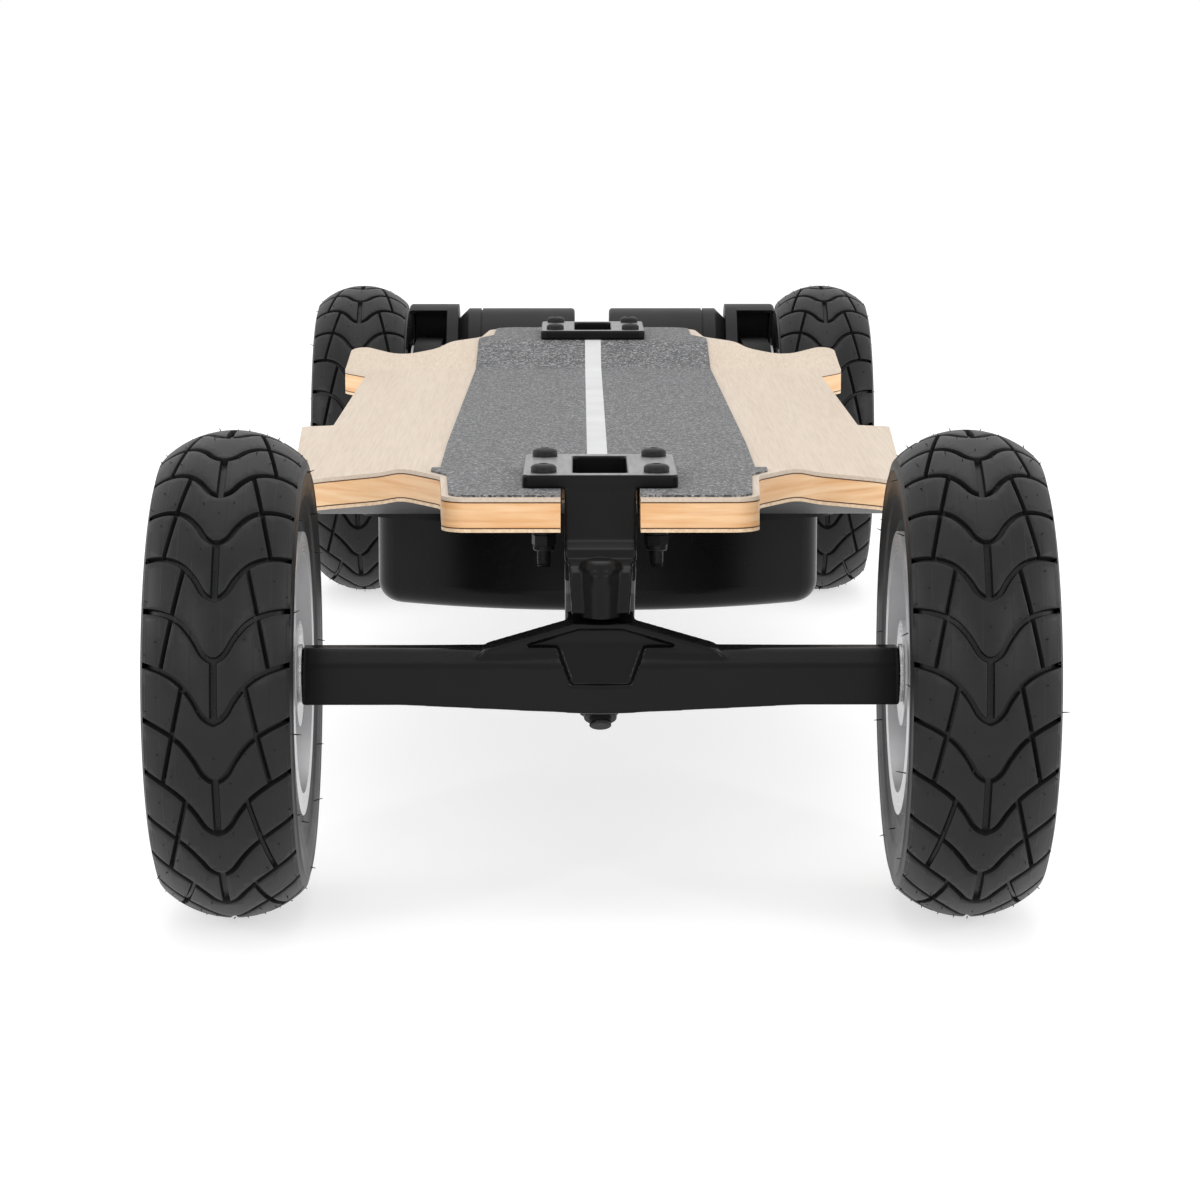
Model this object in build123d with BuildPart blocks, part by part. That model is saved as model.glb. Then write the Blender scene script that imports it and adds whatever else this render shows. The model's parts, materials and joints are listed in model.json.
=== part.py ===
from build123d import *
import math
import os

os.makedirs("parts", exist_ok=True)

# All-terrain electric skateboard, in millimetres.
# Origin on the ground midway between the axles; +X to the right, +Y to the tail, +Z up.
# Each truck is made in its own frame, from the middle of its axle: x across the board, y outboard, z up.

# ---- overall layout ----
wheelbase = 820.0
track = 262.0
tyre_diameter = 175.0
tyre_width = 54.0
axle_height = tyre_diameter / 2

# ---- clearances ----
running_fit = 0.05
close_fit = 0.02
face_gap = 0.1
belt_gap = 0.3
slip_gap = 1.0

# ---- wheels ----
rim_seat_radius = 46.0
rim_flange_radius = 51.0
rim_half_width = 24.3
rim_flange_thickness = 2.3
rim_wall = 3.0
rim_web_thickness = 4.0
hub_half_width = 23.0
rim_window_side = 15.0
rim_window_corner = 4.0
rim_window_radius = 33.0
rim_bolt_count = 5
rim_bolt_inset = 5.5
rim_bolt_radius = 2.5
rim_bolt_head_height = 4.0
rim_bolt_nut_height = 4.0
rim_bolt_tail = 6.0
crown_drop = 8.6
crown_bulge = 2.0
shoulder_inset = 3.8
sidewall_bulge = 3.0
tread_thickness = 7.0
sidewall_thickness = 5.0
bead_width = 5.0
bearing_width = 8.0
bearing_outer_radius = 14.0
hub_wall = 5.0
bearing_shoulder = 2.0
spacer_gap = 1.5
axle_radius = 6.0
axle_nut_extra = 3.5
axle_nut_height = 7.0
axle_washer_extra = 4.5
axle_washer_thickness = 1.0
hanger_washer_thickness = 0.9
axle_end_length = 1.0
valve_radius = 2.8
valve_root_length = 3.0
valve_length = 17.0
valve_cap_extra = 0.9
valve_cap_length = 6.0
valve_lean = (0.8, 0, -0.6)

# ---- truck (heights above the axle's centre) ----
pivot_y, pivot_z = -2.0, 29.0
ring_y, ring_z = -40.0, 2.5
pivot_ball_radius = 5.5
pivot_cup_wall = 2.2
beam_end_half_depth, beam_end_bottom = 9.5, -10.1
beam_middle_half_depth, beam_middle_bottom = 12.0, -13.1
beam_top = 9.8
beam_edge_slope = 5.5
rib_front_y, rib_back_y = 8.0, -9.0
rib_foot_x, rib_knee_x, rib_head_x = 48.0, 41.0, 10.0
rib_knee_z, rib_head_z = 10.0, 19.0
beam_pocket_depth = 3.0
hanger_neck_half_width = 12.0
ring_outer_radius = 15.0
ring_half_height = 4.0
ring_hole_extra = 1.6
pivot_nose_radius = 8.0
pivot_nose_start = 22.0
bushing_radius = 12.0
bushing_tip_radius = 10.0
upper_bushing_height = 12.0
lower_bushing_height = 13.0
kingpin_radius = 4.0
kingpin_tail = 30.0
kingpin_seat = 36.0
kingpin_head_extra = 2.5
kingpin_head_height = 6.0
kingpin_hex_radius = 3.0
kingpin_hex_depth = 3.5
washer_thickness = 1.5
kingpin_nut_extra = 2.5
kingpin_nut_height = 6.5
deck_bolt_across = 41.3
deck_bolt_along = 53.9
plate_margin_across = 7.85
plate_margin_along = 9.05
plate_centre_y = -60.0
plate_thickness = 5.0
plate_corner_radius = 3.0
keel_half_width = 13.0
keel_inboard_y = -90.0
keel_pocket_half_width = 10.0
keel_pocket_length = 58.0
keel_pocket_floor_z = 43.5
housing_top_half_width, housing_foot_half_width = 11.6, 9.6
housing_top_z, housing_foot_z = 40.0, 12.5
bushing_seat_reach = 13.5
deck_bolt_radius = 2.5
deck_bolt_head_extra = 2.25
deck_bolt_head_height = 2.8
deck_bolt_hex_radius = 1.7
deck_bolt_hex_depth = 1.6
deck_bolt_tail = 10.0
deck_nut_extra = 1.5
deck_nut_height = 4.0
deck_washer_extra = 2.5
deck_washer_thickness = 1.0

# ---- deck ----
deck_rise = 63.2
platform_drop = 11.5
ramp_outer_from_axle = 99.0
ramp_length = 47.0
deck_bend_radius = 60.0
deck_half_width = 134.0
nose_half_width = 57.0
neck_half_width = 84.0
nose_from_axle = 2.0
tape_inset = 2.5
top_ply_thickness = 1.7
core_thickness = 9.3
bottom_ply_thickness = 1.5
tape_thickness = 0.8
stripe_width = 8.6
stripe_proud = 0.1
slot_side_gap = 1.4
slot_end_gap = 2.5
slot_corner_radius = 4.0
deck_thickness = top_ply_thickness + core_thickness + bottom_ply_thickness

# ---- drive ----
motor_angle = 36.53
motor_radius = 31.0
motor_inner_x = 10.0
motor_wall = 4.0
motor_cap = 5.0
motor_collar = 6.0
motor_groove_inset = 14.0
motor_groove_width = 1.0
motor_end_radius = 2.0
shaft_socket_depth = 3.0
rotor_gap = 0.6
motor_shaft_radius = 4.0
mount_thickness = 6.5
mount_hanger_radius = 19.0
mount_clamp_length = 5.0
cover_margin = 2.5
cover_wall = 2.5
cover_edge_radius = 2.4
cover_mouth = 14.3
cover_over_tyre = 3.0
cover_tyre_gap = 2.6
wheel_pulley_radius = 51.9
motor_pulley_radius = 11.4
pulley_flange_height = 1.4
pulley_flange_thickness = 1.2
pulley_rim = 6.0
pulley_web = 6.0
pulley_boss_radius = 30.0
pulley_tyre_gap = 0.5
pulley_spacing = 3.9
belt_width = 15.0
belt_thickness = 2.2

# ---- enclosure ----
tub_half_width = 90.0
tub_to_ramp = 14.0
tub_bow = 28.0
tub_corner_radius = 14.0
tub_depth = 40.5
tub_wall = 3.0
tub_edge_radius = 9.0
flange_extra = 7.0
flange_thickness = 3.5
gasket_thickness = 1.2
screw_radius = 1.6
screw_head_radius = 2.9
screw_head_height = 1.8
screw_core_left = 1.5
screw_row_inset = 40.0
screw_rows_each_way = 3
end_screw_x = 45.0
button_radius = 8.0
button_from_end = 80.0
button_above_middle = 2.5
button_proud = 3.0
button_root = 2.0
port_from_button = 40.0
port_bore_radius = 5.0
port_bore_depth = 11.0
port_flange_radius = 10.0
port_flange_thickness = 2.0
port_body_radius = 8.0
port_body_length = 12.0
gland_spread = 7.0
gland_radius = 7.0
gland_bore_radius = 3.5
gland_bore_depth = 9.0
gland_hex_start, gland_hex_height, gland_cap_height = 0.6, 4.0, 7.0
cell_radius = 9.2
cell_gap = 0.6
cell_side_gap = 5.0
battery_foot = 2.0
battery_headroom = 5.5
bay_gap = 29.9
controller_width, controller_length, controller_height = 100.0, 120.0, 22.0
controller_x = -20.0
controller_fin_count, controller_fin_pitch = 11, 8.0
controller_fin_gap, controller_fin_depth = 3.0, 6.0
controller_fin_margin = 5.0

half_wheelbase = wheelbase / 2
tyre_radius = tyre_diameter / 2
tyre_inner_x = track / 2 - tyre_width / 2
hub_radius = bearing_outer_radius + hub_wall
spacer_radius = axle_radius + bearing_shoulder
rim_bolt_circle_radius = hub_radius + rim_bolt_inset
bearing_inner_x = track / 2 - hub_half_width
bearing_outer_x = track / 2 + hub_half_width
hanger_end_x = bearing_inner_x - hanger_washer_thickness - face_gap

pulley_width = belt_width + 2 * belt_gap
pulley_outer_x = tyre_inner_x - pulley_tyre_gap - pulley_flange_thickness
pulley_inner_x = pulley_outer_x - pulley_width
belt_inner_x = pulley_inner_x + belt_gap
mount_outer_x = pulley_inner_x - pulley_flange_thickness - slip_gap
motor_outer_x = mount_outer_x - mount_thickness
motor_groove_x = motor_outer_x - motor_groove_inset
hanger_stub_x = motor_outer_x - mount_clamp_length - slip_gap
motor_reach = wheel_pulley_radius + motor_pulley_radius + pulley_spacing
motor_y = motor_reach * math.cos(math.radians(motor_angle))
motor_rise = motor_reach * math.sin(math.radians(motor_angle))
cover_radius = motor_radius + cover_margin
cover_outer_x = tyre_inner_x + cover_over_tyre

deck_end_top = axle_height + deck_rise
deck_platform_top = deck_end_top - platform_drop
deck_ramp_outer_y = half_wheelbase - ramp_outer_from_axle
deck_ramp_inner_y = deck_ramp_outer_y - ramp_length
platform_bottom = deck_platform_top - deck_thickness
flange_top_z = platform_bottom - gasket_thickness
tub_bottom_z = flange_top_z - tub_depth
tub_front_y = deck_ramp_inner_y - tub_to_ramp
screw_length = flange_thickness + gasket_thickness + bottom_ply_thickness + core_thickness - screw_core_left
button_y = tub_front_y - button_from_end
button_z = tub_bottom_z + (tub_depth - flange_thickness) / 2 + button_above_middle
port_y = button_y - port_from_button
bow_radius = (tub_half_width**2 + tub_bow**2) / (2 * tub_bow)
bow_centre_y = tub_front_y - bow_radius
steer_length = math.hypot(pivot_y - ring_y, pivot_z - ring_z)
steer = ((pivot_y - ring_y) / steer_length, (pivot_z - ring_z) / steer_length)
kingpin_up = (0, -steer[1], steer[0])

ends = {
    "front": Location((0, -half_wheelbase, axle_height), (0, 0, 180)),
    "rear": Location((0, half_wheelbase, axle_height)),
}
ring_plane = Plane(origin=(0, ring_y, ring_z), x_dir=(1, 0, 0), z_dir=kingpin_up)
steer_plane = Plane(origin=(0, ring_y, ring_z), x_dir=(1, 0, 0), z_dir=(0, steer[0], steer[1]))
motor_plane = Plane(origin=(0, motor_y, motor_rise), x_dir=(0, 1, 0), z_dir=(1, 0, 0))
axle_plane = Plane(origin=(0, 0, 0), x_dir=(0, 1, 0), z_dir=(1, 0, 0))
wheel_plane = Plane.YZ


def save(piece, name):
    """Labels a finished piece and writes its STEP file."""
    piece.label = name
    export_step(piece, f"parts/{name}.step")


def wheel_place(side, end):
    """Where a wheel stands: side is +1 right, -1 left; the wheel's +x then points away from the board."""
    y = half_wheelbase if end == "rear" else -half_wheelbase
    return Location((side * track / 2, y, axle_height), (0, 0, 0 if side > 0 else 180))


def beyond(plane, distance):
    """The plane moved along its own normal."""
    return plane.offset(distance)


# ================= wheels =================
bead_radius = rim_seat_radius + face_gap
bead_half_width = rim_half_width - rim_flange_thickness - face_gap

with BuildPart() as tyre:
    with BuildSketch(Plane.XY):
        with BuildLine():
            wall = tyre_width / 2
            shoulder = (wall - shoulder_inset, tyre_radius - crown_drop)
            foot = (bead_half_width, rim_flange_radius + slip_gap)
            middle = (shoulder[1] + foot[1]) / 2
            ThreePointArc((0, tyre_radius), (shoulder[0] / 2, tyre_radius - crown_bulge), shoulder)
            ThreePointArc(shoulder, (wall, middle + sidewall_bulge), foot)
            bead = Polyline(foot, (bead_half_width, bead_radius), (bead_half_width - bead_width, bead_radius))
            inner_side = ThreePointArc(
                bead @ 1,
                (wall - sidewall_thickness, middle),
                (shoulder[0] - sidewall_thickness, shoulder[1] - sidewall_thickness),
            )
            inner_crown = Line(inner_side @ 1, (0, tyre_radius - tread_thickness))
            Line(inner_crown @ 1, (0, tyre_radius))
        make_face()
        mirror(about=Plane.YZ)
    revolve(axis=Axis.X)

with BuildPart() as rim_half:
    with BuildSketch(Plane.XY):
        with Locations((0, hub_radius)):
            Rectangle(rim_web_thickness, rim_seat_radius - hub_radius, align=(Align.MIN, Align.MIN))
        with Locations((0, spacer_radius)):
            Rectangle(hub_half_width, hub_radius - spacer_radius, align=(Align.MIN, Align.MIN))
        with Locations((0, rim_seat_radius - rim_wall)):
            Rectangle(rim_half_width, rim_wall, align=(Align.MIN, Align.MIN))
        with Locations((rim_half_width - rim_flange_thickness, rim_seat_radius - rim_wall)):
            Rectangle(
                rim_flange_thickness,
                rim_flange_radius - rim_seat_radius + rim_wall,
                align=(Align.MIN, Align.MIN),
            )
    revolve(axis=Axis.X)
    with BuildSketch(wheel_plane):
        Circle(spacer_radius + spacer_gap)
    extrude(amount=hub_half_width, mode=Mode.SUBTRACT)
    with BuildSketch(beyond(wheel_plane, hub_half_width - bearing_width)):
        Circle(bearing_outer_radius)
    extrude(amount=bearing_width, mode=Mode.SUBTRACT)
    with BuildSketch(wheel_plane):
        with PolarLocations(rim_window_radius, rim_bolt_count, start_angle=180 / rim_bolt_count):
            RectangleRounded(rim_window_side, rim_window_side, rim_window_corner)
        with PolarLocations(rim_bolt_circle_radius, rim_bolt_count):
            Circle(rim_bolt_radius + face_gap)
    extrude(amount=rim_web_thickness, mode=Mode.SUBTRACT)

valve_start = (rim_web_thickness + valve_radius + slip_gap, 0, rim_seat_radius - rim_wall)
valve_plane = Plane(origin=valve_start, x_dir=(0, 1, 0), z_dir=valve_lean)

with BuildPart() as valve_rim_half:
    add(rim_half.part)
    with BuildSketch(beyond(valve_plane, -2 * valve_root_length)):
        Circle(valve_radius + face_gap)
    extrude(amount=2 * valve_root_length + valve_radius, mode=Mode.SUBTRACT)

rim_pair = Compound(children=[valve_rim_half.part, rim_half.part.mirror(Plane.YZ)])

with BuildPart() as bearings:
    for side in (-1, 1):
        with BuildSketch(beyond(wheel_plane, side * hub_half_width)):
            Circle(bearing_outer_radius - close_fit)
            Circle(axle_radius + running_fit, mode=Mode.SUBTRACT)
        extrude(amount=-side * bearing_width)
    with BuildSketch(wheel_plane):
        Circle(spacer_radius)
        Circle(axle_radius + running_fit, mode=Mode.SUBTRACT)
    extrude(amount=hub_half_width - bearing_width, both=True)


def rim_hardware(inner_face):
    """Bolts through both rim halves, heads resting at inner_face, and the tyre's valve."""
    with BuildPart() as hardware:
        with BuildSketch(beyond(wheel_plane, -inner_face)):
            with PolarLocations(rim_bolt_circle_radius, rim_bolt_count):
                Circle(rim_bolt_radius)
        extrude(amount=inner_face + rim_web_thickness + rim_bolt_tail)
        with BuildSketch(beyond(wheel_plane, -inner_face)):
            with PolarLocations(rim_bolt_circle_radius, rim_bolt_count):
                Circle(rim_bolt_radius * 1.7)
        extrude(amount=-rim_bolt_head_height)
        with BuildSketch(beyond(wheel_plane, rim_web_thickness)):
            with PolarLocations(rim_bolt_circle_radius, rim_bolt_count):
                RegularPolygon(rim_bolt_radius * 1.6, 6)
        extrude(amount=rim_bolt_nut_height)
        with BuildSketch(beyond(valve_plane, -valve_root_length)):
            Circle(valve_radius)
        extrude(amount=valve_root_length + valve_length)
        with BuildSketch(beyond(valve_plane, valve_length)):
            Circle(valve_radius + valve_cap_extra)
        extrude(amount=valve_cap_length)
    return hardware.part


front_hardware = rim_hardware(rim_web_thickness)
pulley_face = track / 2 - (pulley_outer_x + pulley_flange_thickness - pulley_web)
rear_hardware = rim_hardware(pulley_face)

for side, side_name in ((-1, "left"), (1, "right")):
    for end in ends:
        place = wheel_place(side, end)
        wheel_name = f"{end}_{side_name}"
        save(tyre.part.moved(place), f"{wheel_name}_tyre")
        save(rim_pair.moved(place), f"{wheel_name}_rim")
        save(bearings.part.moved(place), f"{wheel_name}_bearings")
        hardware = rear_hardware if end == "rear" else front_hardware
        save(hardware.moved(place), f"{wheel_name}_rim_bolts")


# ================= trucks =================
def beam_section(half_depth, bottom):
    """The hanger beam's cross section in the YZ plane: a box with sloped top edges."""
    return [
        (-half_depth, bottom),
        (half_depth, bottom),
        (half_depth, beam_top - beam_edge_slope),
        (half_depth - beam_edge_slope, beam_top),
        (-half_depth + beam_edge_slope, beam_top),
        (-half_depth, beam_top - beam_edge_slope),
    ]


def both_sides(*points):
    """A closed outline symmetric about x = 0, from its right-hand points, bottom to top."""
    return [*points, *[(-x, z) for x, z in reversed(points)]]


with BuildPart() as hanger:
    with BuildSketch(Plane.YZ):
        Polygon(*beam_section(beam_middle_half_depth, beam_middle_bottom), align=None)
    with BuildSketch(Plane.YZ.offset(hanger_stub_x)):
        Polygon(*beam_section(beam_end_half_depth, beam_end_bottom), align=None)
    loft()
    with BuildSketch(Plane.YZ.offset(hanger_stub_x)):
        Polygon(*beam_section(beam_end_half_depth, beam_end_bottom), align=None)
    extrude(amount=hanger_end_x - hanger_stub_x)
    mirror(about=Plane.YZ)
    # ribs rising from the beam to the pivot nose, with a recessed web between them
    rib_outline = both_sides(
        (rib_foot_x, beam_top - beam_edge_slope), (rib_knee_x, rib_knee_z), (rib_head_x, rib_head_z)
    )
    with BuildSketch(Plane.XZ.offset(-rib_back_y)):
        Polygon(*rib_outline, align=None)
    extrude(amount=rib_back_y - rib_front_y)
    with BuildSketch(Plane.XZ.offset(-rib_front_y)):
        Polygon(*both_sides((30, beam_top + 0.7), (8, rib_head_z - 2)), align=None)
    extrude(amount=beam_pocket_depth, mode=Mode.SUBTRACT)
    with BuildSketch(Plane.XZ.offset(-beam_middle_half_depth - 2)):
        Polygon(*both_sides((10.7, -2.5), (15.5, beam_top + 0.7)), align=None)
    extrude(amount=beam_middle_half_depth + 2 - rib_front_y + beam_pocket_depth, mode=Mode.SUBTRACT)
    # neck from the beam to the bushing ring, and the ring itself
    with BuildSketch(Plane.YZ):
        Polygon((2, 2.5), (2, 16.5), (-8, 21.5), (-28, 13.5), (-20.5, 2.5), (-12, -7.5), align=None)
    extrude(amount=hanger_neck_half_width, both=True)
    with BuildSketch(ring_plane):
        Circle(ring_outer_radius)
        Polygon(*both_sides((ring_outer_radius, 0), (hanger_neck_half_width - 1, 24)), align=None)
    extrude(amount=ring_half_height, both=True)
    with BuildSketch(ring_plane):
        Circle(kingpin_radius + ring_hole_extra)
    extrude(amount=ring_half_height * 2, both=True, mode=Mode.SUBTRACT)
    # pivot nose and ball on the steering axis
    with BuildSketch(steer_plane.offset(pivot_nose_start)):
        Circle(pivot_nose_radius)
    with BuildSketch(steer_plane.offset(steer_length)):
        Circle(pivot_ball_radius - 0.5)
    loft()
    with Locations((0, pivot_y, pivot_z)):
        Sphere(pivot_ball_radius)

cup_outer_radius = pivot_ball_radius + running_fit + pivot_cup_wall
cup_mouth = -1.0
cup_depth = pivot_ball_radius + running_fit + 1.5

with BuildPart() as pivot_cup:
    with BuildSketch(steer_plane.offset(steer_length + cup_mouth)):
        Circle(cup_outer_radius)
    extrude(amount=cup_depth - cup_mouth)
    with Locations((0, pivot_y, pivot_z)):
        Sphere(pivot_ball_radius + running_fit, mode=Mode.SUBTRACT)
    with BuildSketch(steer_plane.offset(steer_length + cup_mouth)):
        Circle(pivot_ball_radius + running_fit)
    extrude(amount=-cup_mouth, mode=Mode.SUBTRACT)

plate_bottom = deck_rise + tape_thickness
plate_top = plate_bottom + plate_thickness
plate_half_width = deck_bolt_across / 2 + plate_margin_across
plate_half_length = deck_bolt_along / 2 + plate_margin_along
plate_outboard_y = plate_centre_y + plate_half_length
kingpin_head_radius = kingpin_radius + kingpin_head_extra
seat = ring_half_height + upper_bushing_height
seat_y = ring_y + seat * kingpin_up[1]
seat_z = ring_z + seat * kingpin_up[2]
# the keel from the side: down its sloping front, round the pivot housing, along the bushing's seat and back
keel_profile = [
    (plate_outboard_y, plate_top),
    (plate_outboard_y, plate_bottom),
    (-12.0, 46.5),
    (-6.0, 44.0),
    (-5.0, 41.0),
    (2.0, 39.0),
    (5.5, 37.0),
    (7.5, 23.0),
    (3.0, 21.3),
    (-6.0, 25.0),
    (-12.0, 30.5),
    (-24.0, 30.5),
    (seat_y + bushing_seat_reach * steer[0], seat_z + bushing_seat_reach * steer[1]),
    (seat_y - bushing_seat_reach * steer[0], seat_z - bushing_seat_reach * steer[1]),
    (keel_inboard_y + 8.0, 30.5),
    (keel_inboard_y, 52.5),
    (keel_inboard_y, plate_top),
]
housing_rib = ((6.0, 4.0, 37.0), (4.4, 5.5, 22.5))

with BuildPart() as baseplate:
    with BuildSketch(Plane.XY.offset(plate_bottom)):
        with Locations((0, plate_centre_y)):
            RectangleRounded(2 * plate_half_width, 2 * plate_half_length, plate_corner_radius)
    extrude(amount=plate_thickness)
    with BuildSketch(Plane.YZ):
        Polygon(*keel_profile, align=None)
    extrude(amount=keel_half_width, both=True)
    # the lower block is narrower and tapers to the pivot housing
    with BuildSketch(Plane.XZ.offset(-20.0)):
        for side in (-1, 1):
            outer = side * (keel_half_width + 2)
            Polygon(
                (side * housing_foot_half_width, housing_foot_z),
                (side * housing_top_half_width, housing_top_z),
                (outer, housing_top_z),
                (outer, housing_foot_z),
                align=None,
            )
    extrude(amount=40.0, mode=Mode.SUBTRACT)
    # rounded rib down the front of the pivot housing
    for rib_radius, rib_y, rib_z in housing_rib:
        with BuildSketch(Plane.XY.offset(rib_z)):
            with Locations((0, rib_y)):
                Circle(rib_radius)
    loft()
    # pocket from above, reaching the kingpin's head
    with BuildSketch(Plane.XY.offset(plate_top)):
        with Locations((0, plate_centre_y)):
            RectangleRounded(2 * keel_pocket_half_width, keel_pocket_length, 2.0)
    extrude(amount=-(plate_top - keel_pocket_floor_z), mode=Mode.SUBTRACT)
    with BuildSketch(ring_plane.offset(kingpin_seat)):
        Circle(kingpin_head_radius + slip_gap)
    extrude(amount=18.0, mode=Mode.SUBTRACT)
    with BuildSketch(ring_plane.offset(seat - 1.0)):
        Circle(kingpin_radius + close_fit)
    extrude(amount=kingpin_seat, mode=Mode.SUBTRACT)
    # pivot cup's socket, open towards the hanger's nose
    with BuildSketch(steer_plane.offset(steer_length + cup_mouth)):
        Circle(cup_outer_radius + close_fit)
    extrude(amount=cup_depth - cup_mouth + close_fit, mode=Mode.SUBTRACT)
    with BuildSketch(steer_plane.offset(steer_length + cup_mouth)):
        Circle(cup_outer_radius + slip_gap)
    extrude(amount=-20.0, mode=Mode.SUBTRACT)
    with BuildSketch(Plane.XY.offset(plate_bottom)):
        with Locations((0, plate_centre_y)):
            with GridLocations(deck_bolt_across, deck_bolt_along, 2, 2):
                Circle(deck_bolt_radius + face_gap)
    extrude(amount=plate_thickness, mode=Mode.SUBTRACT)

with BuildPart() as bushings:
    for sign, height in ((1, upper_bushing_height), (-1, lower_bushing_height)):
        near = sign * ring_half_height
        with BuildSketch(ring_plane.offset(near)):
            Circle(bushing_radius)
        with BuildSketch(ring_plane.offset(near + sign * height)):
            Circle(bushing_tip_radius)
        loft()
    with BuildSketch(ring_plane):
        Circle(kingpin_radius + face_gap)
    extrude(amount=seat + 2.0, both=True, mode=Mode.SUBTRACT)

lower_face = ring_half_height + lower_bushing_height
with BuildPart() as kingpin:
    with BuildSketch(ring_plane.offset(-kingpin_tail)):
        Circle(kingpin_radius)
    extrude(amount=kingpin_tail + kingpin_seat)
    with BuildSketch(ring_plane.offset(kingpin_seat)):
        Circle(kingpin_head_radius)
    extrude(amount=kingpin_head_height)
    with BuildSketch(ring_plane.offset(kingpin_seat + kingpin_head_height)):
        RegularPolygon(kingpin_hex_radius, 6)
    extrude(amount=-kingpin_hex_depth, mode=Mode.SUBTRACT)

with BuildPart() as kingpin_nut:
    with BuildSketch(ring_plane.offset(-lower_face)):
        Circle(bushing_tip_radius - 1.0)
        Circle(kingpin_radius + close_fit, mode=Mode.SUBTRACT)
    extrude(amount=-washer_thickness)
    with BuildSketch(ring_plane.offset(-lower_face - washer_thickness)):
        RegularPolygon(kingpin_radius + kingpin_nut_extra, 6, major_radius=False)
        Circle(kingpin_radius + close_fit, mode=Mode.SUBTRACT)
    extrude(amount=-kingpin_nut_height)

axle_washer_radius = axle_radius + axle_washer_extra
axle_tip_x = bearing_outer_x + face_gap + axle_washer_thickness + axle_nut_height + axle_end_length

with BuildPart() as axle:
    with BuildSketch(axle_plane.offset(-axle_tip_x)):
        Circle(axle_radius)
    extrude(amount=2 * axle_tip_x)

with BuildPart() as axle_nuts:
    for side in (-1, 1):
        with BuildSketch(axle_plane.offset(side * hanger_end_x)):
            Circle(axle_washer_radius)
            Circle(axle_radius + close_fit, mode=Mode.SUBTRACT)
        extrude(amount=side * hanger_washer_thickness)
        with BuildSketch(axle_plane.offset(side * (bearing_outer_x + face_gap))):
            Circle(axle_washer_radius)
            Circle(axle_radius + close_fit, mode=Mode.SUBTRACT)
        extrude(amount=side * axle_washer_thickness)
        with BuildSketch(axle_plane.offset(side * (bearing_outer_x + face_gap + axle_washer_thickness))):
            RegularPolygon(axle_radius + axle_nut_extra, 6, major_radius=False)
            Circle(axle_radius + close_fit, mode=Mode.SUBTRACT)
        extrude(amount=side * axle_nut_height)

with BuildPart() as bored_hanger:
    add(hanger.part)
    with BuildSketch(axle_plane.offset(-hanger_end_x)):
        Circle(axle_radius + close_fit)
    extrude(amount=2 * hanger_end_x, mode=Mode.SUBTRACT)

for end, place in ends.items():
    save(bored_hanger.part.moved(place), f"{end}_hanger")
    save(baseplate.part.moved(place), f"{end}_baseplate")
    save(bushings.part.moved(place), f"{end}_bushings")
    save(axle.part.moved(place), f"{end}_axle")
    save(axle_nuts.part.moved(place), f"{end}_axle_nuts")


def both_ends(piece):
    """The same piece at the front and rear trucks, as one group of solids."""
    return Compound(children=[piece.moved(place) for place in ends.values()])


save(both_ends(pivot_cup.part), "pivot_cups")
save(both_ends(kingpin.part), "kingpins")
save(both_ends(kingpin_nut.part), "kingpin_nuts")


# ================= deck =================
def deck_line(z_offset):
    """The deck's side line: nose, ramp, platform, ramp, tail."""
    end_z = deck_end_top + z_offset
    low_z = deck_platform_top + z_offset
    length = half_wheelbase + 20.0
    return [
        (-length, end_z),
        (-deck_ramp_outer_y, end_z),
        (-deck_ramp_inner_y, low_z),
        (deck_ramp_inner_y, low_z),
        (deck_ramp_outer_y, end_z),
        (length, end_z),
    ]


# half outline of the deck, nose to tail, with a corner radius at each inner point; the necks follow the axles
nose_y = -half_wheelbase + nose_from_axle
tail_y = half_wheelbase
waist_half_width = deck_half_width - 14.0
deck_outline = [
    (0, nose_y),
    (nose_half_width, nose_y),
    (nose_half_width + 3.0, 72.0 - half_wheelbase),
    (neck_half_width, 112.0 - half_wheelbase),
    (deck_half_width - 13.0, 138.0 - half_wheelbase),
    (deck_half_width, -38.0),
    (waist_half_width, -33.0),
    (waist_half_width, half_wheelbase - 173.0),
    (deck_half_width - 1.0, half_wheelbase - 148.0),
    (deck_half_width - 3.0, half_wheelbase - 102.0),
    (neck_half_width + 20.0, half_wheelbase - 122.0),
    (neck_half_width, half_wheelbase - 110.0),
    (nose_half_width + 5.0, half_wheelbase - 65.0),
    (nose_half_width + 0.5, tail_y),
    (0, tail_y),
]
deck_corner_radii = [10.0, 14.0, 28.0, 40.0, 4.0, 3.0, 6.0, 8.0, 7.0, 14.0, 22.0, 24.0, 18.0]
tape_outline = [
    (0, nose_y + tape_inset),
    (nose_half_width - tape_inset, nose_y + tape_inset),
    (nose_half_width + 3.0 - tape_inset, 72.0 - half_wheelbase),
    (nose_half_width + 7.0, 85.0 - half_wheelbase),
    (nose_half_width + 8.0, -120.0),
    (nose_half_width + 5.5, half_wheelbase - 80.0),
    (nose_half_width - 2.0, half_wheelbase - 60.0),
    (nose_half_width - tape_inset, tail_y - tape_inset),
    (0, tail_y - tape_inset),
]
tape_corner_radii = [8.0, 8.0, 8.0, 200.0, 30.0, 10.0, 12.0]


def ribbon(top_offset, bottom_offset):
    """A layer of the deck seen from the side, between two offsets from the deck's top."""
    with BuildSketch(Plane.YZ) as side_view:
        with BuildLine():
            upper = FilletPolyline(*deck_line(top_offset), radius=deck_bend_radius)
            lower = FilletPolyline(*deck_line(bottom_offset), radius=deck_bend_radius)
            Line(upper @ 0, lower @ 0)
            Line(upper @ 1, lower @ 1)
        make_face()
    return side_view.sketch


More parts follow.
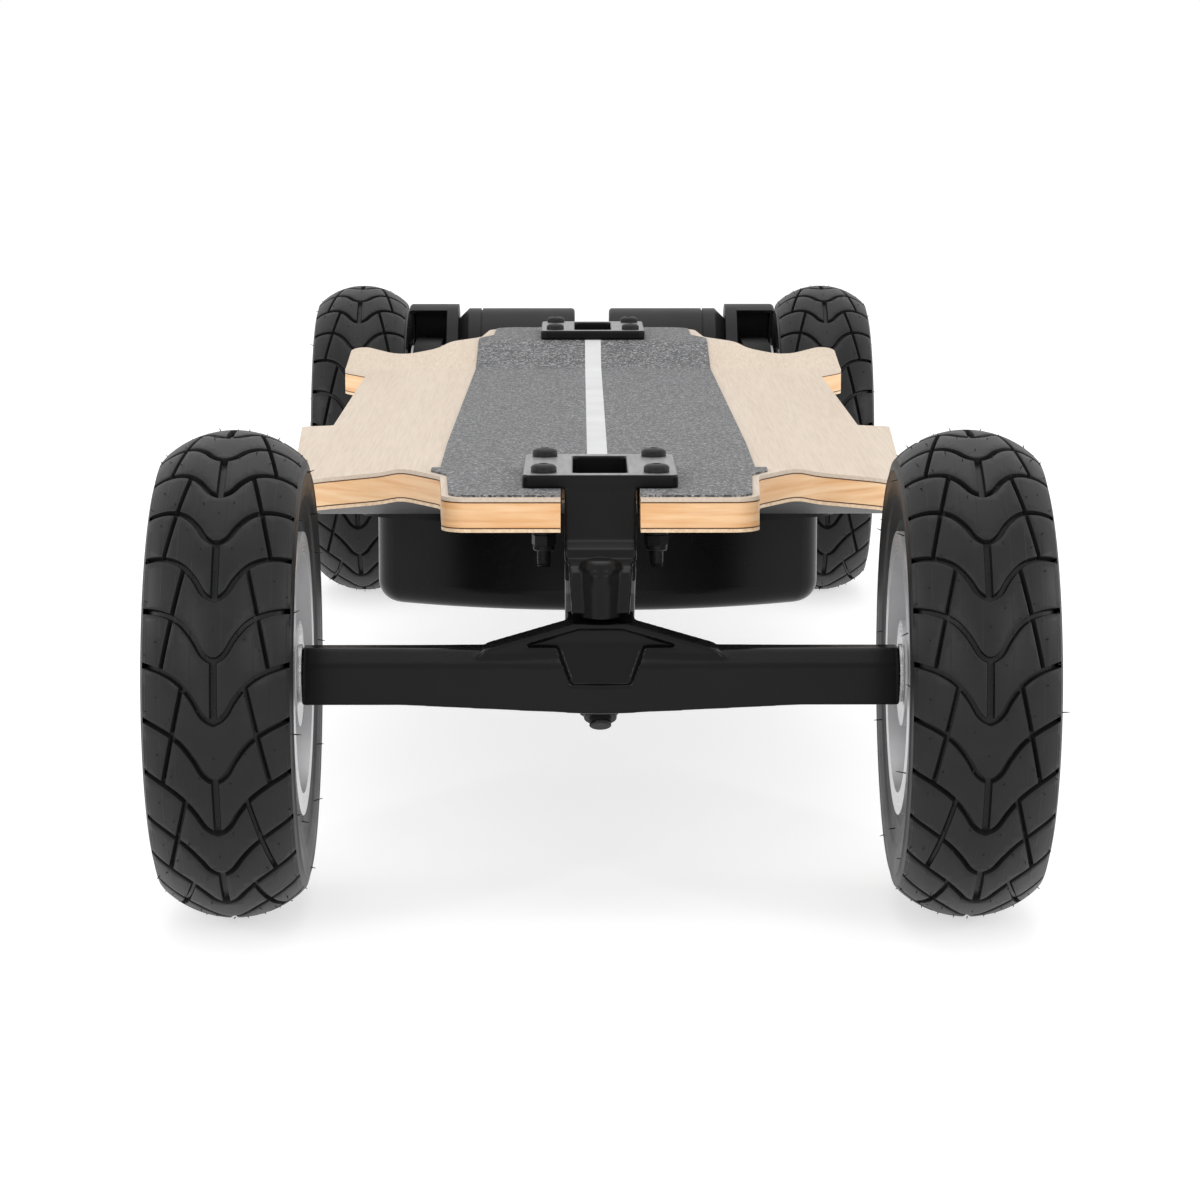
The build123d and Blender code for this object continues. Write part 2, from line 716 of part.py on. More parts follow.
def plan(outline, radii):
    """A symmetric plan shape from its right half."""
    with BuildSketch(Plane.XY) as plan_view:
        with BuildLine():
            edge = FilletPolyline(*outline, radius=radii)
            Line(edge @ 0, edge @ 1)
        make_face()
        mirror(about=Plane.YZ)
    return plan_view.sketch


deck_bolt_points = [
    (x * deck_bolt_across / 2, end * (half_wheelbase + plate_centre_y) + y * deck_bolt_along / 2)
    for end in (-1, 1)
    for y in (-1, 1)
    for x in (-1, 1)
]
slot_half_width = keel_half_width + slot_side_gap
slot_inner_y = slot_end_gap - keel_inboard_y
slot_length = slot_inner_y + 40.0
sky = axle_height + 2 * deck_rise


def deck_layer(top_offset, bottom_offset, outline, radii):
    """A layer of the deck with the truck slots and bolt holes cut through."""
    slab = extrude(ribbon(top_offset, bottom_offset), amount=sky, both=True)
    prism = extrude(plan(outline, radii), amount=sky, both=True)
    with BuildPart() as layer:
        add(slab)
        add(prism, mode=Mode.INTERSECT)
        with BuildSketch(Plane.XY):
            for end in (-1, 1):
                with Locations((0, end * (half_wheelbase - slot_inner_y + slot_length / 2))):
                    RectangleRounded(2 * slot_half_width, slot_length, slot_corner_radius)
            with Locations(*deck_bolt_points):
                Circle(deck_bolt_radius + face_gap)
        extrude(amount=sky, mode=Mode.SUBTRACT)
    return layer.part


screw_pitch = (tub_front_y - screw_row_inset) / screw_rows_each_way
screw_rows = [row * screw_pitch for row in range(-screw_rows_each_way, screw_rows_each_way + 1)]
flange_screw_x = tub_half_width + flange_extra / 2
screw_points = [(side * flange_screw_x, y) for side in (-1, 1) for y in screw_rows]
end_screw_y = bow_centre_y + math.sqrt((bow_radius + flange_extra / 2) ** 2 - end_screw_x**2)
screw_points += [(side * end_screw_x, end * end_screw_y) for side in (-1, 1) for end in (-1, 1)]

top_ply = deck_layer(0, -top_ply_thickness, deck_outline, deck_corner_radii)
core = deck_layer(-top_ply_thickness, -top_ply_thickness - core_thickness, deck_outline, deck_corner_radii)
bottom_ply = deck_layer(-top_ply_thickness - core_thickness, -deck_thickness, deck_outline, deck_corner_radii)
tape = deck_layer(tape_thickness, 0, tape_outline, tape_corner_radii)
screw_tip_z = flange_top_z - flange_thickness + screw_length


def with_screw_holes(piece):
    """The piece with the enclosure's screw holes bored from below."""
    with BuildPart() as holed:
        add(piece)
        with BuildSketch(Plane.XY):
            with Locations(*screw_points):
                Circle(screw_radius + face_gap)
        extrude(amount=screw_tip_z + slip_gap, mode=Mode.SUBTRACT)
    return holed.part


stripe_end_y = half_wheelbase + plate_centre_y - plate_half_length
with BuildPart() as centre_stripe:
    add(extrude(ribbon(tape_thickness + stripe_proud, 0), amount=stripe_width / 2, both=True))
    Box(stripe_width, 2 * stripe_end_y, 2 * sky, mode=Mode.INTERSECT)

with BuildPart() as grip_tape:
    add(tape)
    with BuildSketch(Plane.XY):
        Rectangle(stripe_width, 2 * stripe_end_y)
    extrude(amount=sky, mode=Mode.SUBTRACT)

save(top_ply, "deck_top_ply")
save(with_screw_holes(core), "deck_core")
save(with_screw_holes(bottom_ply), "deck_bottom_ply")
save(grip_tape.part, "grip_tape")
save(centre_stripe.part, "centre_stripe")

deck_end_bottom = deck_end_top - deck_thickness
nut_top = deck_end_bottom - deck_washer_thickness
head_seat = axle_height + plate_top
with BuildPart() as deck_bolts:
    with BuildSketch(Plane.XY.offset(head_seat)):
        with Locations(*deck_bolt_points):
            Circle(deck_bolt_radius + deck_bolt_head_extra)
    extrude(amount=deck_bolt_head_height)
    fillet(deck_bolts.edges().group_by(Axis.Z)[-1], radius=deck_bolt_head_height * 0.7)
    with BuildSketch(Plane.XY.offset(head_seat + deck_bolt_head_height)):
        with Locations(*deck_bolt_points):
            RegularPolygon(deck_bolt_hex_radius, 6)
    extrude(amount=-deck_bolt_hex_depth, mode=Mode.SUBTRACT)
    with BuildSketch(Plane.XY.offset(nut_top - deck_nut_height - deck_bolt_tail)):
        with Locations(*deck_bolt_points):
            Circle(deck_bolt_radius)
    extrude(until=Until.NEXT)
save(deck_bolts.part, "deck_bolts")

with BuildPart() as deck_nuts:
    with BuildSketch(Plane.XY.offset(deck_end_bottom)):
        with Locations(*deck_bolt_points):
            Circle(deck_bolt_radius + deck_washer_extra)
            Circle(deck_bolt_radius + close_fit, mode=Mode.SUBTRACT)
    extrude(amount=-deck_washer_thickness)
    with BuildSketch(Plane.XY.offset(nut_top)):
        with Locations(*deck_bolt_points):
            RegularPolygon(deck_bolt_radius + deck_nut_extra, 6, major_radius=False)
            Circle(deck_bolt_radius + close_fit, mode=Mode.SUBTRACT)
    extrude(amount=-deck_nut_height)
save(deck_nuts.part, "deck_nuts")

# ================= drive (right-hand unit, in the rear truck's frame) =================
def pulley_ring(plane, radius, flange_radius):
    """A pulley's toothed band with a flange at each side."""
    with BuildPart() as ring:
        with BuildSketch(plane.offset(pulley_inner_x)):
            Circle(radius)
        extrude(amount=pulley_width)
        for start, outward in ((pulley_inner_x, -1), (pulley_outer_x, 1)):
            with BuildSketch(plane.offset(start)):
                Circle(flange_radius)
            extrude(amount=outward * pulley_flange_thickness)
    return ring.part


with BuildPart() as wheel_pulley:
    add(pulley_ring(axle_plane, wheel_pulley_radius, wheel_pulley_radius + pulley_flange_height))
    flange_outer_x = pulley_outer_x + pulley_flange_thickness
    with BuildSketch(axle_plane.offset(pulley_inner_x - pulley_flange_thickness)):
        Circle(wheel_pulley_radius - pulley_rim)
    extrude(amount=flange_outer_x - pulley_web - pulley_inner_x + pulley_flange_thickness, mode=Mode.SUBTRACT)
    with BuildSketch(axle_plane.offset(flange_outer_x)):
        Circle(pulley_boss_radius)
    extrude(amount=track / 2 - rim_web_thickness - flange_outer_x)
    with BuildSketch(axle_plane.offset(flange_outer_x - pulley_web)):
        Circle(hub_radius + slip_gap)
        with PolarLocations(rim_bolt_circle_radius, rim_bolt_count):
            Circle(rim_bolt_radius + face_gap)
    extrude(amount=track / 2, mode=Mode.SUBTRACT)

with BuildPart() as motor_pulley:
    add(pulley_ring(motor_plane, motor_pulley_radius, motor_pulley_radius + pulley_flange_height))
    with BuildSketch(motor_plane.offset(mount_outer_x)):
        Circle(motor_shaft_radius + close_fit)
    extrude(amount=cover_outer_x, mode=Mode.SUBTRACT)

with BuildPart() as belt:
    outer_gap = belt_gap + belt_thickness
    for gap, mode in ((outer_gap, Mode.ADD), (belt_gap, Mode.SUBTRACT)):
        with BuildSketch(Plane.YZ.offset(belt_inner_x)):
            Circle(wheel_pulley_radius + gap)
            with Locations((motor_y, motor_rise)):
                Circle(motor_pulley_radius + gap)
            make_hull()
        extrude(amount=belt_width, mode=mode)

with BuildPart() as motor_mount:
    with BuildSketch(Plane.YZ.offset(motor_outer_x)):
        Circle(mount_hanger_radius)
        with Locations((motor_y, motor_rise)):
            Circle(cover_radius)
        make_hull()
    extrude(amount=mount_thickness)
    with BuildSketch(Plane.YZ.offset(motor_outer_x)):
        Circle(mount_hanger_radius)
    extrude(amount=-mount_clamp_length)
    with BuildSketch(Plane.YZ.offset(hanger_stub_x)):
        Polygon(*beam_section(beam_end_half_depth, beam_end_bottom), align=None)
        offset(amount=close_fit, kind=Kind.INTERSECTION)
    extrude(amount=mount_outer_x, mode=Mode.SUBTRACT)
    with BuildSketch(motor_plane.offset(motor_outer_x)):
        Circle(motor_pulley_radius + pulley_flange_height + slip_gap)
    extrude(amount=mount_thickness, mode=Mode.SUBTRACT)

motor_bay = motor_outer_x - motor_inner_x - 2 * motor_cap - motor_collar
with BuildPart() as motor_housing:
    with BuildSketch(motor_plane.offset(motor_inner_x)):
        Circle(motor_radius)
    extrude(amount=motor_outer_x - motor_inner_x)
    chamfer(motor_housing.edges().filter_by(GeomType.CIRCLE).group_by(Axis.X)[-1], length=motor_collar)
    fillet(motor_housing.edges().filter_by(GeomType.CIRCLE).group_by(Axis.X)[0], radius=motor_end_radius)
    with BuildSketch(motor_plane.offset(motor_groove_x)):
        Circle(motor_radius + slip_gap)
        Circle(motor_radius - slip_gap, mode=Mode.SUBTRACT)
    extrude(amount=motor_groove_width, mode=Mode.SUBTRACT)
    with BuildSketch(motor_plane.offset(motor_inner_x + motor_cap)):
        Circle(motor_radius - motor_wall)
    extrude(amount=motor_bay, mode=Mode.SUBTRACT)
    with BuildSketch(motor_plane.offset(motor_inner_x + motor_cap - shaft_socket_depth)):
        Circle(motor_shaft_radius + running_fit)
    extrude(amount=motor_outer_x, mode=Mode.SUBTRACT)

with BuildPart() as rotor:
    with BuildSketch(motor_plane.offset(motor_inner_x + motor_cap + rotor_gap)):
        Circle(motor_radius - motor_wall - rotor_gap)
    extrude(amount=motor_bay - 2 * rotor_gap)
    shaft_start_x = motor_inner_x + motor_cap - shaft_socket_depth + slip_gap / 2
    with BuildSketch(motor_plane.offset(shaft_start_x)):
        Circle(motor_shaft_radius)
    extrude(amount=pulley_outer_x - shaft_start_x)

with BuildPart() as belt_cover:
    with BuildSketch(motor_plane.offset(mount_outer_x)):
        Circle(cover_radius)
    extrude(amount=cover_outer_x - mount_outer_x)
    fillet(belt_cover.edges().filter_by(GeomType.CIRCLE).group_by(Axis.X)[-1], radius=cover_edge_radius)
    with BuildSketch(motor_plane.offset(mount_outer_x)):
        Circle(cover_radius - cover_wall)
    extrude(amount=cover_outer_x - cover_wall - mount_outer_x, mode=Mode.SUBTRACT)
    # open towards the wheel pulley, and clear of the tyre where the two stand side by side
    with BuildSketch(axle_plane.offset(mount_outer_x)):
        Circle(motor_reach + cover_mouth)
    extrude(amount=cover_outer_x, mode=Mode.SUBTRACT)
    with BuildSketch(axle_plane.offset(tyre_inner_x - slip_gap)):
        Circle(tyre_radius - crown_drop + cover_tyre_gap)
    extrude(amount=cover_outer_x, mode=Mode.SUBTRACT)

rear = ends["rear"]
drive_pieces = {
    "motor_pulley": motor_pulley.part,
    "belt": belt.part,
    "motor_mount": motor_mount.part,
    "motor_housing": motor_housing.part,
    "rotor": rotor.part,
    "belt_cover": belt_cover.part,
}
for piece_name, piece in drive_pieces.items():
    save(piece.moved(rear), f"right_{piece_name}")
    save(piece.mirror(Plane.YZ).moved(rear), f"left_{piece_name}")
# the wheel pulleys are turned with their wheels, so that their bolt holes line up
save(wheel_pulley.part.moved(rear), "right_wheel_pulley")
save(wheel_pulley.part.moved(rear * Location((0, 0, 0), (0, 0, 180))), "left_wheel_pulley")


# ================= enclosure =================
def tub_plan(extra):
    """The tub's plan outline grown by extra: straight sides and bowed ends."""
    side = tub_half_width + extra
    end = tub_front_y + extra
    with BuildSketch(Plane.XY) as outline:
        with BuildLine():
            for sign in (-1, 1):
                corner = (sign * side, end - tub_bow)
                Line((sign * side, -end + tub_bow), corner)
            ThreePointArc((-side, end - tub_bow), (0, end), (side, end - tub_bow))
            ThreePointArc((-side, -end + tub_bow), (0, -end), (side, -end + tub_bow))
        make_face()
        fillet(outline.vertices(), radius=tub_corner_radius + extra)
    return outline.sketch


flange_bottom_z = flange_top_z - flange_thickness
gland_body_radius = gland_radius - slip_gap

with BuildPart() as enclosure_tub:
    add(tub_plan(0).moved(Location((0, 0, tub_bottom_z))))
    extrude(amount=flange_top_z - tub_bottom_z)
    fillet(enclosure_tub.edges().group_by(Axis.Z)[0], radius=tub_edge_radius)
    add(tub_plan(flange_extra).moved(Location((0, 0, flange_top_z))))
    extrude(amount=-flange_thickness)
    add(tub_plan(-tub_wall).moved(Location((0, 0, tub_bottom_z + tub_wall))))
    extrude(amount=flange_top_z, mode=Mode.SUBTRACT)
    with BuildSketch(Plane.XY.offset(flange_bottom_z - flange_thickness)):
        with Locations(*screw_points):
            Circle(screw_radius + face_gap)
    extrude(amount=3 * flange_thickness, mode=Mode.SUBTRACT)
    side_plane = Plane(origin=(tub_half_width, button_y, button_z), x_dir=(0, 1, 0), z_dir=(1, 0, 0))
    with BuildSketch(side_plane.offset(-tub_wall - slip_gap)):
        Circle(button_radius + running_fit)
        with Locations((port_y - button_y, 0)):
            Circle(port_body_radius + close_fit)
    extrude(amount=tub_wall + 2 * slip_gap, mode=Mode.SUBTRACT)
    gland_planes = []
    for sign in (-1, 1):
        turn = math.radians(sign * gland_spread)
        outward = (math.sin(turn), math.cos(turn), 0)
        foot = (bow_radius * outward[0], bow_centre_y + bow_radius * outward[1], button_z)
        gland_planes.append(Plane(origin=foot, x_dir=(0, 0, 1), z_dir=outward))
    for plane in gland_planes:
        with BuildSketch(plane.offset(-tub_wall - slip_gap)):
            Circle(gland_body_radius)
        extrude(amount=tub_wall + 2 * slip_gap, mode=Mode.SUBTRACT)
save(enclosure_tub.part, "enclosure_tub")

with BuildPart() as enclosure_gasket:
    add(tub_plan(flange_extra).moved(Location((0, 0, flange_top_z))))
    extrude(amount=gasket_thickness)
    add(tub_plan(-tub_wall).moved(Location((0, 0, flange_top_z))))
    extrude(amount=gasket_thickness, mode=Mode.SUBTRACT)
    with BuildSketch(Plane.XY.offset(flange_top_z)):
        with Locations(*screw_points):
            Circle(screw_radius + face_gap)
    extrude(amount=gasket_thickness, mode=Mode.SUBTRACT)
save(enclosure_gasket.part, "enclosure_gasket")

with BuildPart() as enclosure_screws:
    with BuildSketch(Plane.XY.offset(flange_bottom_z)):
        with Locations(*screw_points):
            Circle(screw_radius)
    extrude(amount=screw_length)
    with BuildSketch(Plane.XY.offset(flange_bottom_z)):
        with Locations(*screw_points):
            Circle(screw_head_radius)
    extrude(amount=-screw_head_height)
save(enclosure_screws.part, "enclosure_screws")

floor_z = tub_bottom_z + tub_wall
bay_half_length = tub_front_y - tub_bow - tub_wall
cell_pitch = 2 * cell_radius + cell_gap
battery_room = 2 * bay_half_length - controller_length - 3 * bay_gap
battery_length = int(battery_room / cell_pitch) * cell_pitch
battery_width = int(2 * (tub_half_width - tub_wall - cell_side_gap) / cell_pitch) * cell_pitch
battery_y = bay_gap + battery_length / 2 - bay_half_length
battery_height = tub_depth - tub_wall - battery_headroom
controller_y = bay_half_length - bay_gap - controller_length / 2

with BuildPart() as battery_pack:
    with BuildSketch(Plane.XY.offset(floor_z)):
        with Locations((0, battery_y)):
            RectangleRounded(battery_width, battery_length, cell_radius)
    extrude(amount=battery_foot)
    with BuildSketch(Plane.XY.offset(floor_z + battery_foot)):
        with Locations((0, battery_y)):
            RectangleRounded(battery_width, battery_length, cell_radius)
            offset(amount=-slip_gap)
    extrude(amount=battery_height - battery_foot)
save(battery_pack.part, "battery_pack")

with BuildPart() as motor_controller:
    with BuildSketch(Plane.XY.offset(floor_z)):
        with Locations((controller_x, controller_y)):
            RectangleRounded(controller_width, controller_length, 4.0)
    extrude(amount=controller_height)
    with BuildSketch(Plane.XY.offset(floor_z + controller_height)):
        with Locations((controller_x, controller_y)):
            with GridLocations(controller_fin_pitch, 0, controller_fin_count, 1):
                Rectangle(controller_fin_gap, controller_length - 2 * controller_fin_margin)
    extrude(amount=-controller_fin_depth, mode=Mode.SUBTRACT)
save(motor_controller.part, "motor_controller")

with BuildPart() as power_button:
    with BuildSketch(side_plane.offset(-tub_wall - button_root)):
        Circle(button_radius)
    extrude(amount=tub_wall + button_root + button_proud)
    fillet(power_button.edges().group_by(Axis.X)[-1], radius=1.0)
save(power_button.part, "power_button")

with BuildPart() as charge_port:
    port_plane = side_plane.shift_origin((tub_half_width, port_y, button_z))
    with BuildSketch(port_plane.offset(-tub_wall - port_body_length)):
        Circle(port_body_radius)
    extrude(amount=tub_wall + port_body_length)
    with BuildSketch(port_plane):
        Circle(port_flange_radius)
    extrude(amount=port_flange_thickness)
    with BuildSketch(port_plane.offset(port_flange_thickness)):
        Circle(port_bore_radius)
    extrude(amount=-port_bore_depth, mode=Mode.SUBTRACT)
save(charge_port.part, "charge_port")

with BuildPart() as cable_glands:
    for plane in gland_planes:
        with BuildSketch(plane.offset(-tub_wall)):
            Circle(gland_body_radius - close_fit)
        extrude(amount=tub_wall + slip_gap)
        with BuildSketch(plane.offset(gland_hex_start)):
            RegularPolygon(gland_radius, 6)
        extrude(amount=gland_hex_height)
        with BuildSketch(plane.offset(gland_hex_start + gland_hex_height)):
            Circle(gland_body_radius)
        extrude(amount=gland_cap_height)
        with BuildSketch(plane.offset(gland_hex_start + gland_hex_height + gland_cap_height)):
            Circle(gland_bore_radius)
        extrude(amount=-gland_bore_depth, mode=Mode.SUBTRACT)
save(cable_glands.part, "cable_glands")
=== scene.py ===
"""Looks of the electric skateboard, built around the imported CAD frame. Metres, with the CAD's own axes."""

import json
import math
import random

import bmesh
import bpy
import numpy as np
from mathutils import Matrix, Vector
from mathutils.geometry import delaunay_2d_cdt


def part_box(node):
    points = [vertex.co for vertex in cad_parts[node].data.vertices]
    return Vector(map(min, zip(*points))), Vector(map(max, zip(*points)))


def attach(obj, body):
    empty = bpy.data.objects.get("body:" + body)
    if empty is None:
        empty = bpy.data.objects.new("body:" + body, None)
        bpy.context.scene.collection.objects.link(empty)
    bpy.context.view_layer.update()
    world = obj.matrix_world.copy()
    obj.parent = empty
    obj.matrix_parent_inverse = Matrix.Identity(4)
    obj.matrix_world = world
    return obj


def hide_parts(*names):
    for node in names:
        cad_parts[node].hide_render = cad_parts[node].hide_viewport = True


MM = 0.001
MOULD_LINE_SPACING = 5.3 * MM
TURNED_RING_SPACING = 1.6 * MM
FLOOR_HALF = 40.0
CAMERA_PLACE = (-0.0079, -1.7357, 0.3101)
CAMERA_DOWN, CAMERA_TURN = 8.41, -0.331
CAMERA_SENSOR, CAMERA_LENS = 36.0, 112.05
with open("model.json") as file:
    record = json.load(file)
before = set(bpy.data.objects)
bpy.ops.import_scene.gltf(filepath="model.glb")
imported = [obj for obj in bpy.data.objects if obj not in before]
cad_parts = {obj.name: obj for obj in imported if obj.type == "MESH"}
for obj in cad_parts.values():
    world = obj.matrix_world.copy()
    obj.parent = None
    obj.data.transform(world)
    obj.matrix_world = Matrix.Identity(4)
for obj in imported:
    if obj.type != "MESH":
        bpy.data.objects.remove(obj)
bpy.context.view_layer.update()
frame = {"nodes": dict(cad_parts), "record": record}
nodes = frame["nodes"]
slot_of = {row["node"]: row["material_slot"] for row in frame["record"]["subparts"]}
wheel_low, wheel_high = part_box("rear_right_tyre")
WHEEL_X, WHEEL_Y, WHEEL_Z = (wheel_low + wheel_high) / 2
body_of_node = {n: body for body, names in frame["record"]["behaviour"]["bodies"].items() for n in names}


# ---------------------------------------------------------------- camera, light and floor
def make_camera():
    """The camera in front of the nose, a little above the deck, looking slightly down."""
    data = bpy.data.cameras.new("camera")
    data.sensor_width = CAMERA_SENSOR
    data.lens = CAMERA_LENS
    data.clip_end = 60.0
    camera = bpy.data.objects.new("camera", data)
    bpy.context.scene.collection.objects.link(camera)
    camera.location = CAMERA_PLACE
    camera.rotation_euler = (math.radians(90 - CAMERA_DOWN), 0, math.radians(CAMERA_TURN))
    bpy.context.scene.camera = camera


def area_light(name, place, target, size, power):
    """A rectangular softbox aimed at a point."""
    data = bpy.data.lights.new(name, "AREA")
    data.shape = "RECTANGLE"
    data.size, data.size_y = size
    data.energy = power
    light = bpy.data.objects.new(name, data)
    light.location = place
    light.rotation_euler = (Vector(target) - Vector(place)).to_track_quat("-Z", "Y").to_euler()
    bpy.context.scene.collection.objects.link(light)


def make_studio():
    """A pale floor that glows a little, a white world, a softbox above and two strips on each side."""
    bpy.context.scene.view_settings.view_transform = "Standard"
    world = bpy.data.worlds.new("studio")
    bpy.context.scene.world = world
    world.use_nodes = True
    background = world.node_tree.nodes["Background"]
    background.inputs["Color"].default_value = (1, 1, 1, 1)
    background.inputs["Strength"].default_value = 1.0
    mesh = bpy.data.meshes.new("floor")
    half = FLOOR_HALF
    corners = [(-half, -half, 0), (half, -half, 0), (half, half, 0), (-half, half, 0)]
    mesh.from_pydata(corners, [], [(0, 1, 2, 3)])
    floor = bpy.data.objects.new("floor", mesh)
    bpy.context.scene.collection.objects.link(floor)
    tree = Shader("floor", (0.5, 0.5, 0.5), 0.8)
    tree.set("Specular IOR Level", 0.0)
    tree.set("Emission Color", (1, 1, 1, 1))
    tree.set("Emission Strength", 0.62)
    floor.data.materials.append(tree.material)
    area_light("top_box", (0, 0.3, 2.3), (0, 0, 0.1), (1.6, 2.2), 12)
    for side in (-1, 1):
        area_light("front_strip", (side * 1.3, -2.2, 1.1), (0, -0.3, 0.1), (0.12, 1.1), 9)
        area_light("side_strip", (side * 2.2, -0.2, 0.8), (0, 0, 0.1), (0.9, 0.25), 7)


# ---------------------------------------------------------------- materials
class Shader:
    """A Principled material with short helpers for procedural detail."""

    def __init__(self, name, colour, roughness, metallic=0.0):
        self.material = bpy.data.materials.new(name)
        self.material.use_nodes = True
        self.tree = self.material.node_tree
        self.bsdf = self.tree.nodes["Principled BSDF"]
        self.bsdf.inputs["Base Color"].default_value = (*colour, 1)
        self.bsdf.inputs["Roughness"].default_value = roughness
        self.bsdf.inputs["Metallic"].default_value = metallic
        self.coords = self.tree.nodes.new("ShaderNodeTexCoord")

    def set(self, socket, value):
        self.bsdf.inputs[socket].default_value = value

    def link(self, source, target):
        self.tree.links.new(source, target)

    def stretched(self, scale):
        """Object coordinates scaled by scale in X, Y and Z."""
        mapping = self.tree.nodes.new("ShaderNodeMapping")
        mapping.inputs["Scale"].default_value = scale
        self.link(self.coords.outputs["Object"], mapping.inputs["Vector"])
        return mapping.outputs["Vector"]

    def noise(self, scale, detail=3.0, stretch=(1, 1, 1), roughness=0.55):
        """A noise value from 0 to 1; scale is in features per metre."""
        node = self.tree.nodes.new("ShaderNodeTexNoise")
        node.inputs["Scale"].default_value = scale
        node.inputs["Detail"].default_value = detail
        node.inputs["Roughness"].default_value = roughness
        self.link(self.stretched(stretch), node.inputs["Vector"])
        return node.outputs["Fac"]

    def cells(self, scale):
        """The random colour of each Voronoi cell and the distance from its centre."""
        node = self.tree.nodes.new("ShaderNodeTexVoronoi")
        node.inputs["Scale"].default_value = scale
        self.link(self.coords.outputs["Object"], node.inputs["Vector"])
        return node.outputs["Color"], node.outputs["Distance"]

    def first_channel(self, colour):
        """The first channel of a colour socket as a value."""
        node = self.tree.nodes.new("ShaderNodeSeparateColor")
        self.link(colour, node.inputs["Color"])
        return node.outputs["Red"]

    def ramp(self, value, stops):
        """Maps a value to colours; stops are (position, colour)."""
        node = self.tree.nodes.new("ShaderNodeValToRGB")
        while len(node.color_ramp.elements) < len(stops):
            node.color_ramp.elements.new(0.5)
        for element, (position, colour) in zip(node.color_ramp.elements, stops):
            element.position = position
            element.color = (*colour, 1)
        self.link(value, node.inputs["Fac"])
        return node.outputs["Color"]

    def span(self, value, low, high):
        """Maps a value from 0..1 to low..high."""
        node = self.tree.nodes.new("ShaderNodeMapRange")
        node.inputs["To Min"].default_value = low
        node.inputs["To Max"].default_value = high
        self.link(value, node.inputs["Value"])
        return node.outputs["Result"]

    def step(self, value, low, high):
        """0 below low, 1 above high."""
        node = self.tree.nodes.new("ShaderNodeMapRange")
        node.inputs["From Min"].default_value = low
        node.inputs["From Max"].default_value = high
        self.link(value, node.inputs["Value"])
        return node.outputs["Result"]

    def axis(self, name, source="Object"):
        """One coordinate of the object position or normal."""
        node = self.tree.nodes.new("ShaderNodeSeparateXYZ")
        self.link(self.coords.outputs[source], node.inputs["Vector"])
        return node.outputs[name]

    def math(self, operation, a, b=None):
        node = self.tree.nodes.new("ShaderNodeMath")
        node.operation = operation
        for index, value in enumerate((a, b)):
            if value is None:
                continue
            if isinstance(value, (int, float)):
                node.inputs[index].default_value = value
            else:
                self.link(value, node.inputs[index])
        return node.outputs["Value"]

    def mix(self, factor, first, second):
        """A colour between first and second; each is a socket or a colour."""
        node = self.tree.nodes.new("ShaderNodeMix")
        node.data_type = "RGBA"
        self.link(factor, node.inputs["Factor"])
        for socket, value in ((node.inputs[6], first), (node.inputs[7], second)):
            if isinstance(value, tuple):
                socket.default_value = (*value, 1)
            else:
                self.link(value, socket)
        return node.outputs[2]

    def bump(self, height, distance, strength=1.0, after=None):
        """Adds bump from a height value; distance is in metres."""
        node = self.tree.nodes.new("ShaderNodeBump")
        node.inputs["Strength"].default_value = strength
        node.inputs["Distance"].default_value = distance
        self.link(height, node.inputs["Height"])
        if after is not None:
            self.link(after, node.inputs["Normal"])
        self.link(node.outputs["Normal"], self.bsdf.inputs["Normal"])
        return node.outputs["Normal"]

    def colour(self, socket):
        self.link(socket, self.bsdf.inputs["Base Color"])

    def rough(self, socket):
        self.link(socket, self.bsdf.inputs["Roughness"])


def gloss_paint(name, colour, roughness):
    """Powder-coated metal: faint orange peel and slight gloss changes."""
    shader = Shader(name, colour, roughness)
    shader.set("Specular IOR Level", 0.15)
    peel = shader.noise(900, 2.0)
    shader.bump(peel, 0.00004, 0.4)
    shader.rough(shader.span(shader.noise(60, 3.0), roughness - 0.05, roughness + 0.08))
    soft = shader.noise(25, 3.0)
    dark = tuple(c * 0.75 for c in colour)
    shader.colour(shader.mix(soft, dark, tuple(c * 1.3 for c in colour)))
    return shader


def plastic(name, colour, roughness, grain=1400):
    """Moulded plastic with a fine grain."""
    shader = Shader(name, colour, roughness)
    shader.set("Specular IOR Level", 0.15)
    shader.bump(shader.noise(grain, 2.0), 0.00005, 0.35)
    shader.rough(shader.span(shader.noise(45, 3.0), roughness - 0.04, roughness + 0.1))
    dark = tuple(c * 0.8 for c in colour)
    shader.colour(shader.mix(shader.noise(18, 2.0), dark, tuple(c * 1.25 for c in colour)))
    return shader


def metal(name, colour, roughness, stretch=(1, 1, 1), grain=700):
    """Bare or machined metal with tool marks."""
    shader = Shader(name, colour, roughness, 1.0)
    marks = shader.noise(grain, 4.0, stretch)
    shader.bump(marks, 0.00003, 0.3)
    shader.rough(shader.span(marks, roughness - 0.08, roughness + 0.12))
    shader.colour(shader.mix(shader.noise(40, 3.0), tuple(c * 0.82 for c in colour), colour))
    return shader


